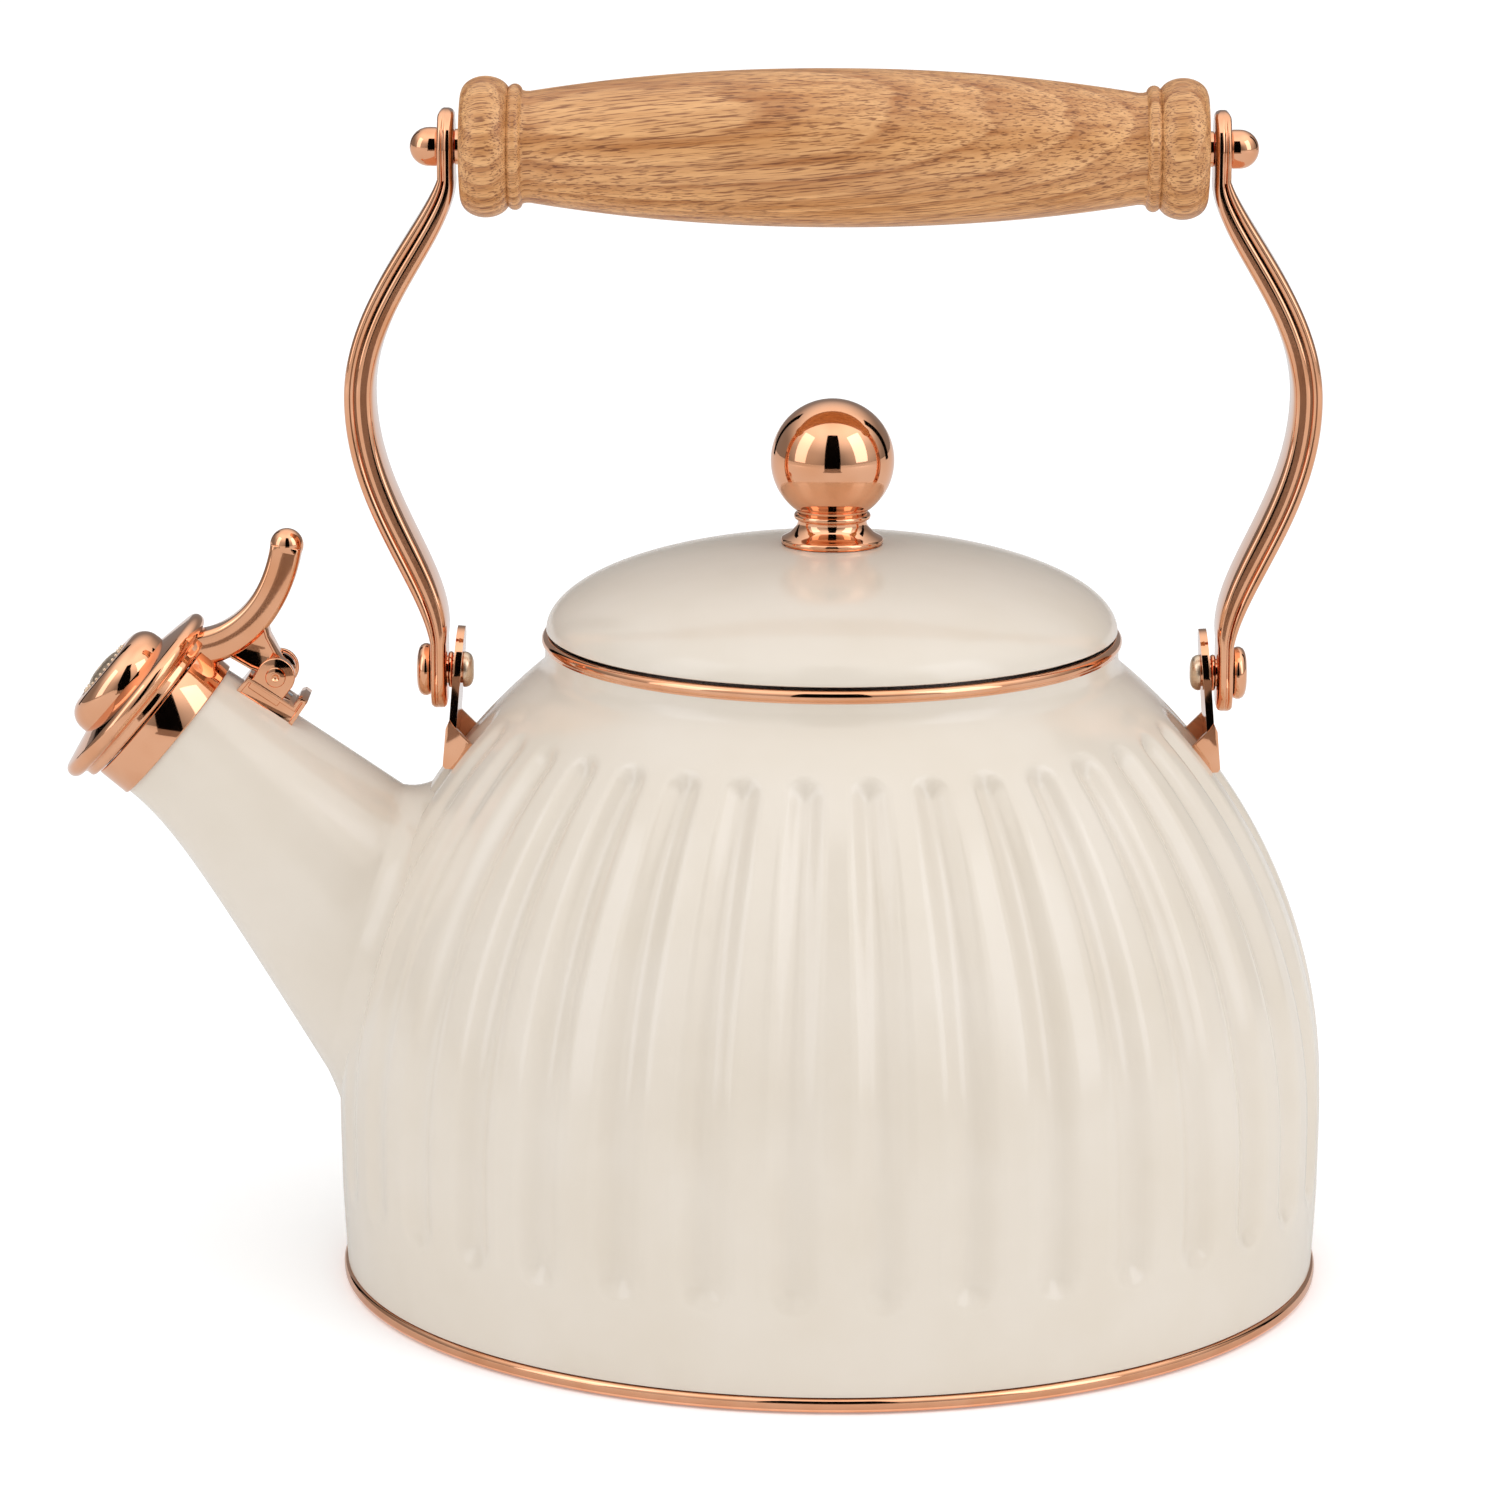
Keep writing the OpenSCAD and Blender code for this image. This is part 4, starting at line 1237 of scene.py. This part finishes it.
@dataclass
class HandleMount:
    """One lug on the shoulder with its rivet, made on the right and mirrored."""

    inner: float = 67.35
    sheet: float = 1.4
    lean: float = 4.4
    top_r: float = 8.0
    foot_half: float = 9.0
    drop: float = 16.6
    fold: float = 1.1
    gusset: tuple[Point, ...] = (
        (69.3, 104.6), (68.5, 103.4), (64.7, 99.6), (64.4, 99.0), (64.7, 98.4), (67.6, 95.9),
        (68.6, 95.5), (70.2, 95.6), (70.6, 96.2), (70.0, 103.0))
    rivet_r: float = 2.5
    head_in: float = 73.02
    cap_r: float = 3.25

    def make_lug(self) -> bpy.types.Object:
        """Press the lug from sheet: a leaning plate and two gussets folded inwards."""
        drop, corner = self.drop, 1.6
        plate = arc((0, 0), self.top_r, 0, 180, 28)
        plate += arc((corner - self.foot_half, corner - drop), corner, 180, 270, 5)
        plate += arc((self.foot_half - corner, corner - drop), corner, 270, 360, 5)
        places = [metres(self.inner, y, PIVOT_Z + z) for y, z in plate]
        piece = Workpiece("right_lug_plate", places[0])
        piece.outline(places)
        piece.thicken(Vector((self.sheet, 0, 0)) * MM)
        bpy.ops.mesh.select_all(action="SELECT")
        bpy.ops.transform.rotate(value=math.radians(self.lean), orient_axis="Y",
                                 center_override=metres(self.inner, 0, PIVOT_Z))
        lug = piece.done()
        for side in (-1, 1):
            near = side * (self.foot_half + 0.06 - self.fold / 2) - self.fold / 2
            places = [metres(x, near, z) for x, z in self.gusset]
            fold = Workpiece("gusset", places[0])
            fold.outline(places)
            fold.thicken(Vector((0, self.fold, 0)) * MM)
            carve(lug, fold.done(), "UNION")
        carve(lug, rod("bore", PIVOT, self.rivet_r + 0.03, 60, 80, 48))
        soften(lug, 0.3, 4, 35)
        return smooth(lug)

    def make_rivet(self) -> bpy.types.Object:
        """Turn the rivet with its broad domed head."""
        dome = [(4.1, 0), (4.6, 0.23), (4.8, 0.78), (4.78, 1.28), (4.5, 1.83), (3.95, 2.23),
                (3.0, 2.48), (1.6, 2.58), (0, 2.6)]
        head = [(r, self.head_in + s) for r, s in dome]
        profile = [(0, 65.9), (2.4, 65.9), (self.rivet_r, 66.0), (self.rivet_r, self.head_in),
                   *head]
        return smooth(turned("right_rivet_head", PIVOT, profile, 96), 40)

    def make_cap(self) -> bpy.types.Object:
        """Turn the pale cap pressed on the rivet's inner end."""
        profile = [(0, 65.3), (1.6, 65.33), (2.3, 65.5), (2.8, 65.8), (3.1, 66.2),
                   (self.cap_r, 66.65), (self.cap_r, 67.05), (3.1, 67.2), (2.55, 67.2),
                   (2.55, 65.95), (0, 65.95)]
        return smooth(turned("right_rivet_end_cap", PIVOT, profile, 72), 30)

    def make_spacer(self) -> bpy.types.Object:
        """Turn the spacer between lug and arm."""
        profile = [(2.55, 68.95), (3.0, 68.95), (3.2, 69.1), (3.3, 69.3), (3.3, 69.55),
                   (3.2, 69.72), (3.0, 69.86), (2.55, 69.86)]
        return smooth(turned("right_spacer_ring", PIVOT, profile, 72, closed=True), 30)

    def build(self, palette: Palette) -> None:
        """Make and dress both mounts."""
        made = [(self.make_lug(), Slot.COPPER, "lug"), (self.make_rivet(), Slot.COPPER, "rivet"),
                (self.make_cap(), Slot.PALE, "rivet_cap"),
                (self.make_spacer(), Slot.COPPER, "pivot_spacer")]
        for right, slot, node in made:
            left = mirrored(right, right.name.replace("right", "left"))
            fit(right, palette, slot, Moving.KETTLE, f"right_{node}")
            fit(left, palette, slot, Moving.KETTLE, f"left_{node}")


# ---------------------------------------------------------------- handle

@dataclass
class Handle:
    """Two pressed arms that bow outwards, held to the grip by domed nuts."""

    foot: Point = (71.45, 118.0)
    bow: Point = (85.4, 163.0)
    head: Point = (69.45, 202.6)
    foot_pull: float = 12.0
    bow_low: float = 20.0
    bow_high: float = 17.0
    head_pull: Point = (0.7, -9.0)
    width: float = 14.0
    eye_t: float = 2.86
    mid_t: float = 5.2
    eye_r: float = 7.0
    steps: int = 64
    groove_ends: tuple[float, float] = (110.8, 204.0)
    groove_depth: float = 1.5
    groove_fill: float = 0.2
    bore_r: float = 2.55

    def edge(self) -> list[tuple[float, float, bool]]:
        """Section of an arm's edge, from its outer face to its inner one.

        Returns:
            Place across as a share of the thickness, depth in millimetres and whether
            the point is at the bottom of the groove.
        """
        bead = [(0.5, 1.8), (0.495, 1.15), (0.47, 0.62), (0.43, 0.26), (0.37, 0.06),
                (0.31, 0.0), (0.26, 0.03), (0.21, 0.11), (0.178, 0.26)]
        ribs = [(0.05, 0.26), (0.015, 0.13), (-0.05, 0.07), (-0.14, 0.09), (-0.2, 0.11),
                (-0.27, 0.13), (-0.33, 0.19), (-0.385, 0.32), (-0.435, 0.58), (-0.475, 1.15),
                (-0.5, 2.2)]
        floor = [(0.15, self.groove_depth), (0.066, self.groove_depth)]
        return ([(u, d, False) for u, d in bead] + [(u, d, True) for u, d in floor]
                + [(u, d, False) for u, d in ribs])

    def line(self, t: float) -> Point:
        """Centre line of the right arm: 0 to 1 up to the bow, 1 to 2 on to the head."""
        if t < 1:
            return bezier([self.foot, (self.foot[0], self.foot[1] + self.foot_pull),
                           (self.bow[0], self.bow[1] - self.bow_low), self.bow], t)
        return bezier([self.bow, (self.bow[0], self.bow[1] + self.bow_high),
                       (self.head[0] + self.head_pull[0], self.head[1] + self.head_pull[1]),
                       self.head], t - 1)

    def lean(self, t: float) -> float:
        """Lean of the centre line towards +X."""
        low, high = self.line(max(t - 0.01, 0)), self.line(min(t + 0.01, 2))
        return math.atan2(high[0] - low[0], high[1] - low[1])

    def thickness(self, t: float) -> float:
        """Thickness of the arm along its centre line."""
        return mix(self.eye_t, self.mid_t, 1 - abs(t - 1) ** 5)

    def make_arm(self) -> bpy.types.Object:
        """Carry the ribbed section up the arm and round its two eyes off."""
        edge = self.edge()
        half = self.width / 2
        front = [(u, depth - half, low) for u, depth, low in edge]
        back = [(u, half - depth, low) for u, depth, low in reversed(edge)]
        section = front + back
        start = (self.foot[0], PIVOT_Z)
        places = [metres(start[0] + u * self.eye_t, v, PIVOT_Z) for u, v, _ in section]
        floors = [p for p, (_, _, low) in zip(places, section) if low]
        piece = Workpiece("right_arm_pressed", places[0])
        piece.outline(places)
        piece.choose(lambda v: any((v.co - p).length < 1e-6 for p in floors))
        bpy.ops.object.vertex_group_assign_new()
        piece.choose(lambda v: True)
        sweep = Sweep(piece, start, self.eye_t, self.width)
        sweep.step((start[0], PIVOT_Z + 3), 0, self.eye_t, self.width)
        for i in range(2 * self.steps + 1):
            t = i / self.steps
            sweep.step(self.line(t), self.lean(t), self.thickness(t), self.width)
        sweep.step((self.head[0], GRIP_Z - 2.5), 0, self.eye_t, self.width)
        self.round_off(sweep, (self.head[0], GRIP_Z), 1)
        piece.choose(lambda v: abs(v.co.z - PIVOT_Z * MM) < WELD)
        sweep = Sweep(piece, start, self.eye_t, self.width)
        self.round_off(sweep, start, -1)
        self.fill_groove(piece)
        piece.weld()
        piece.face_out()
        arm = piece.done()
        carve(arm, rod("bore", PIVOT, self.bore_r, 60, 80, 48))
        return smooth(arm, 38)

    def round_off(self, sweep: Sweep, centre: Point, way: int) -> None:
        """Take the section round an eye, upwards or downwards, and close it."""
        for degrees in (0, 12, 24, 36, 46, 53, 58, 63, 68, 72, 76, 80, 83, 86):
            angle = math.radians(degrees)
            place = (centre[0], centre[1] + way * self.eye_r * math.sin(angle))
            if abs(place[1] - sweep.centre[1]) < WELD:
                continue
            left = min(1.0, 2 * self.eye_r * (1 - math.sin(angle)) / self.eye_t)
            thick = self.eye_t * max(math.sqrt(1 - (1 - left) ** 2), 0.12)
            sweep.step(place, 0, thick, self.width * math.cos(angle))
        sweep.close()

    def fill_groove(self, piece: Workpiece) -> None:
        """Raise the floor of the groove at both eyes, where it ends."""
        half = self.width / 2
        low, high = (z * MM for z in self.groove_ends)
        piece.choose(lambda v: bool(v.groups) and not low < v.co.z < high)
        scale = (half - self.groove_fill) / (half - self.groove_depth)
        bpy.ops.transform.resize(value=(1, scale, 1), center_override=(0, 0, 0))

    def make_nut(self) -> bpy.types.Object:
        """Turn the domed nut on the end of the rod."""
        profile = [(0, 70.92), (3.1, 70.92), (3.42, 71.1), (3.5, 71.45),
                   *arc((0, 72.55), 3.5, 0, 90, 14)]
        return smooth(turned("right_domed_nut", GRIP_AXIS, profile, 72), 35)

    def make_washer(self) -> bpy.types.Object:
        """Turn the washer between grip and arm."""
        profile = [(2.05, 67.05), (3.0, 67.05), (3.2, 67.22), (3.2, 67.8), (3.0, 67.97),
                   (2.05, 67.97)]
        return smooth(turned("right_washer_ring", GRIP_AXIS, profile, 72, closed=True), 30)

    def build(self, palette: Palette) -> None:
        """Make and dress both sides."""
        made = [(self.make_arm(), "arm"), (self.make_nut(), "ball_nut"),
                (self.make_washer(), "grip_washer")]
        for right, node in made:
            left = mirrored(right, right.name.replace("right", "left"))
            fit(right, palette, Slot.COPPER, Moving.HANDLE, f"right_{node}")
            fit(left, palette, Slot.COPPER, Moving.HANDLE, f"left_{node}")


@dataclass
class Grip:
    """Wooden grip turned with a swelling middle, two waists and end knobs."""

    half: float = 66.9
    middle_r: float = 14.2
    waist_r: float = 10.0
    bore_r: float = 2.05

    def outline(self) -> list[Point]:
        """Radius and distance from the middle, from the middle to the end."""
        swell = [(mix(self.middle_r, self.waist_r, (i / 40) ** 2.1), 54.4 * i / 40)
                 for i in range(40)]
        waist = [(self.waist_r, 54.4), (self.waist_r, 55.2), (self.waist_r + 0.15, 55.75)]
        bead = [(r, s) for s, r in arc((57.15, 9.95), 1.35, 168, 20, 9)]
        knob = [(9.4 + 3.25 * math.sin(math.radians(a)), 62.4 + 4.45 * math.cos(math.radians(a)))
                for a in range(157, 9, -7)]
        end = [(9.75, 66.86), (9.3, self.half), (4.5, self.half), (self.bore_r, self.half)]
        return swell + waist + bead + knob + end

    def build(self, palette: Palette) -> None:
        """Turn and dress the grip."""
        half = self.outline()
        other = [(r, -s) for r, s in reversed(half[1:])]
        grip = turned("turned_wood_grip", GRIP_AXIS, other + half, FINE, closed=True)
        fit(smooth(grip, 30), palette, Slot.WOOD, Moving.GRIP, "grip")


@dataclass
class Lid:
    """Domed enamel lid with a ball knob on a stepped stem."""

    radius: float = 52.0
    rise: float = 16.0
    low: float = 120.1
    wall: float = 1.0
    knob_r: float = 11.2
    knob_z: float = 151.2
    seat_z: float = 142.4
    bore_r: float = 2.02
    bore_top: float = 149.6
    screw_hole_r: float = 2.2

    def dome(self, inset: float, angle: float) -> Point:
        """Point of the dome's section, moved in by an inset."""
        turn = math.radians(angle)
        return ((self.radius - inset) * math.cos(turn),
                self.low + (self.rise - inset) * math.sin(turn))

    def make_shell(self) -> bpy.types.Object:
        """Turn the dome with its thickness and a small hole for the screw."""
        outer = [self.dome(0, 86 * (i / 48) ** 1.2) for i in range(49)]
        outer.append((self.screw_hole_r, self.low + self.rise))
        inner = [(self.screw_hole_r, self.low + self.rise - self.wall)]
        inner += [self.dome(self.wall, 86 * (1 - i / 30)) for i in range(31)]
        shell = turned("lid_dome", UPRIGHT, outer + inner, 192, closed=True)
        soften(shell, 0.3, 3, 60)
        return smooth(shell, 40)

    def make_ball(self) -> bpy.types.Object:
        """Turn the ball of the knob."""
        start = math.degrees(math.asin((self.seat_z - self.knob_z) / self.knob_r))
        profile = [(self.bore_r, self.seat_z), *arc((0, self.knob_z), self.knob_r, start, 90, 48)]
        bored = profile + [(0, self.bore_top), (self.bore_r, self.bore_top)]
        return smooth(turned("knob_ball_polished", UPRIGHT, bored, 128, closed=True), 40)

    def make_stem(self) -> bpy.types.Object:
        """Turn the stem: broad flange, hollow neck and ring under the ball."""
        flange_z = self.low + self.rise * math.sqrt(1 - (9.3 / self.radius) ** 2)
        profile = [(self.bore_r, self.low + self.rise + 0.02), (9.2, flange_z + 0.1),
                   *arc((8.7, flange_z + 0.75), 0.62, -60, 60, 8),
                   (8.3, flange_z + 1.65), (7.6, flange_z + 2.1), (6.9, 138.7), (6.4, 139.3),
                   (6.25, 139.9), (6.3, 140.35), *arc((6.35, 141.05), 0.62, -75, 75, 8),
                   (6.3, 141.75), (6.5, 142.1), (6.55, self.seat_z - 0.02),
                   (self.bore_r, self.seat_z - 0.02)]
        return smooth(turned("knob_stem", UPRIGHT, profile, 128, closed=True), 30)

    def build(self, palette: Palette) -> None:
        """Make and dress the lid."""
        fit(self.make_shell(), palette, Slot.ENAMEL, Moving.LID, "lid_shell")
        fit(self.make_ball(), palette, Slot.COPPER, Moving.LID, "knob_ball")
        fit(self.make_stem(), palette, Slot.COPPER, Moving.LID, "knob_collar")


# ---------------------------------------------------------------- camera and studio

@dataclass
class Studio:
    """Camera, soft lights, flags and the white floor.

    The kettle's sizes do not depend on it. A lamp is its azimuth and height in degrees
    and its strength; lights and flags are placed in metres, the eye in millimetres.
    """

    lens: float = 149.5512
    sensor: float = 36.0
    eye: Triple = (0.0, -1112.67, 345.77)
    pitch: float = 12.585
    pan: float = 0.765
    roll: float = 0.099
    wall: float = 0.27
    ceiling: float = 1.2
    lamps: tuple[Triple, ...] = ((-50.0, 35.0, 0.36), (65.0, 38.0, 0.45))
    ceiling_span: Point = (0.3, 0.95)
    glow_span: Point = (0.55, 0.98)
    daylight: Triple = (0.95, 0.99, 1.1)
    flag_y: float = -0.6
    flag_width: float = 0.32
    flag_foot: float = 0.08
    flag_top: float = 1.06

    def make_camera(self) -> None:
        """Stand the camera where the whole kettle is seen from a little above."""
        data = bpy.data.cameras.new("camera")
        data.sensor_width = self.sensor
        data.lens = self.lens
        data.clip_end = 60.0
        camera = bpy.data.objects.new("camera", data)
        turn = (Matrix.Rotation(math.radians(self.pan), 4, "Z")
                @ Matrix.Rotation(math.radians(90 - self.pitch), 4, "X")
                @ Matrix.Rotation(math.radians(self.roll), 4, "Z"))
        camera.matrix_world = Matrix.Translation(metres(*self.eye)) @ turn
        bpy.context.scene.collection.objects.link(camera)
        bpy.context.scene.camera = camera

    def add_light(self, name: str, place: Triple, size: Point, power: float,
                  target: Triple = (0, 0, 0.1)) -> None:
        """Hang a soft light, in metres and watts, aimed at the kettle."""
        data = bpy.data.lights.new(name, "AREA")
        data.shape = "RECTANGLE"
        data.size, data.size_y = size
        data.energy = power
        data.color = self.daylight
        light = bpy.data.objects.new(name, data)
        aim = (Vector(target) - Vector(place)).to_track_quat("-Z", "Y")
        light.matrix_world = Matrix.Translation(Vector(place)) @ aim.to_matrix().to_4x4()
        bpy.context.scene.collection.objects.link(light)

    def light_room(self) -> None:
        """Light the room by direction: bright ceiling, plain walls, a glow round each lamp."""
        world = bpy.data.worlds.new("studio")
        world.use_nodes = True
        tree = world.node_tree
        way = add_node(tree, "ShaderNodeTexCoord").outputs["Generated"]
        axes = add_node(tree, "ShaderNodeSeparateXYZ", {"Vector": way})
        total = fade(tree, axes.outputs["Z"], self.ceiling_span, (self.wall, self.ceiling))
        for azimuth, height, gain in self.lamps:
            turn, lift = math.radians(azimuth), math.radians(height)
            towards = (math.sin(turn) * math.cos(lift), -math.cos(turn) * math.cos(lift),
                       math.sin(lift))
            near = add_node(tree, "ShaderNodeVectorMath", {0: way, 1: towards},
                            operation="DOT_PRODUCT")
            glow = fade(tree, near.outputs["Value"], self.glow_span, (0.0, gain))
            total = add_node(tree, "ShaderNodeMath", {0: total, 1: glow}).outputs["Value"]
        tree.links.new(total, tree.nodes["Background"].inputs["Strength"])
        tree.nodes["Background"].inputs["Color"].default_value = (1.0, 1.0, 1.0, 1.0)
        bpy.context.scene.world = world

    def make_flag(self, name: str, place: Triple, size: Point,
                  target: Triple = (0, 0, 0.1), colour: str = "#060606") -> None:
        """Stand or lay a flag that only reflections see.

        Args:
            name: Name of the flag.
            place: Its middle, in metres.
            size: Its width and height, in metres.
            target: What it faces.
            colour: Colour of its cloth, grey where it is painted shade of the floor.
        """
        put_down()
        bpy.ops.mesh.primitive_plane_add(size=1)
        flag = bpy.context.active_object
        flag.name = name
        aim = (Vector(target) - Vector(place)).to_track_quat("Z", "Y")
        flag.matrix_world = (Matrix.Translation(Vector(place)) @ aim.to_matrix().to_4x4()
                             @ Matrix.Diagonal((size[0], size[1], 1, 1)))
        flag.data.materials.append(FlagCloth(f"{name}_cloth", colour, 1.0).build())
        flag.visible_camera = False
        flag.visible_shadow = False
        flag.visible_diffuse = False

    def build(self) -> None:
        """Set up the camera, the floor and the light."""
        self.make_camera()
        put_down()
        bpy.ops.mesh.primitive_plane_add(size=24)
        floor = bpy.context.active_object
        floor.name = "floor"
        floor.data.materials.append(StudioPaper("white_studio_paper", "#f5f5f5", 1.0).build())
        self.light_room()
        self.add_light("left_softbox", (-1.5, -0.75, 0.9), (0.8, 1.6), 4.9)
        self.add_light("right_softbox", (1.45, -0.95, 1.0), (0.9, 1.7), 7)
        middle, foot = (self.flag_foot + self.flag_top) / 2, self.flag_foot / 2
        self.make_flag("front_flag", (0, self.flag_y, middle),
                       (self.flag_width, self.flag_top - self.flag_foot), (0, 0, middle))
        # Painted shade: a grey-brown strip at the front flag's foot stands in for the shaded floor
        # there, as the metal mirrors it.
        self.make_flag("flag_foot_painted_shade", (0, self.flag_y, foot),
                       (self.flag_width, self.flag_foot), (0, 0, foot), "#9a8f88")
        # Painted shade: a grey patch laid on the floor at the front flag's foot stands in for
        # shaded floor in the metal's reflections.
        self.make_flag("painted_floor_shade", (0, -0.72, 0.002), (0.4, 0.24), (0, -0.72, 1), "#8c827c")
        self.make_flag("floor_card", (0, 0, 0.001), (20, 20), (0, 0, 1), "#dcdcdc")
        self.make_flag("left_edge_flag", (-1.1, 1.4, 0.6), (0.3, 1.5))
        self.make_flag("right_edge_flag", (1.5, 0.95, 0.7), (0.35, 1.8))
        scene = bpy.context.scene
        scene.view_settings.view_transform = "Standard"
        scene.view_settings.look = "None"


def dress_nodes(palette: Palette) -> None:
    """Give every CAD node the finish of the slot that its own material names."""
    slots = {slot.value: slot for slot in Slot}
    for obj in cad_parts.values():
        named = obj.data.materials[0].name.split(".")[0]
        obj.data.materials.clear()
        obj.data.materials.append(palette.of(slots[named]))


def main() -> None:
    """Build the kettle from the foot up, and the studio round it."""
    logging.basicConfig(level=logging.INFO, format="%(message)s")
    palette = Palette.mixed()
    Studio().build()
    dress_nodes(palette)
    body, spout = KettleBody(), Spout()
    body.build(palette)
    spout.build(palette, body)
    Hinge().build(palette, spout)
    WhistleCap().build(palette)
    HandleMount().build(palette)
    Handle().build(palette)
    Grip().build(palette)
    Lid().build(palette)
    put_down()


if __name__ == "__main__":
    main()
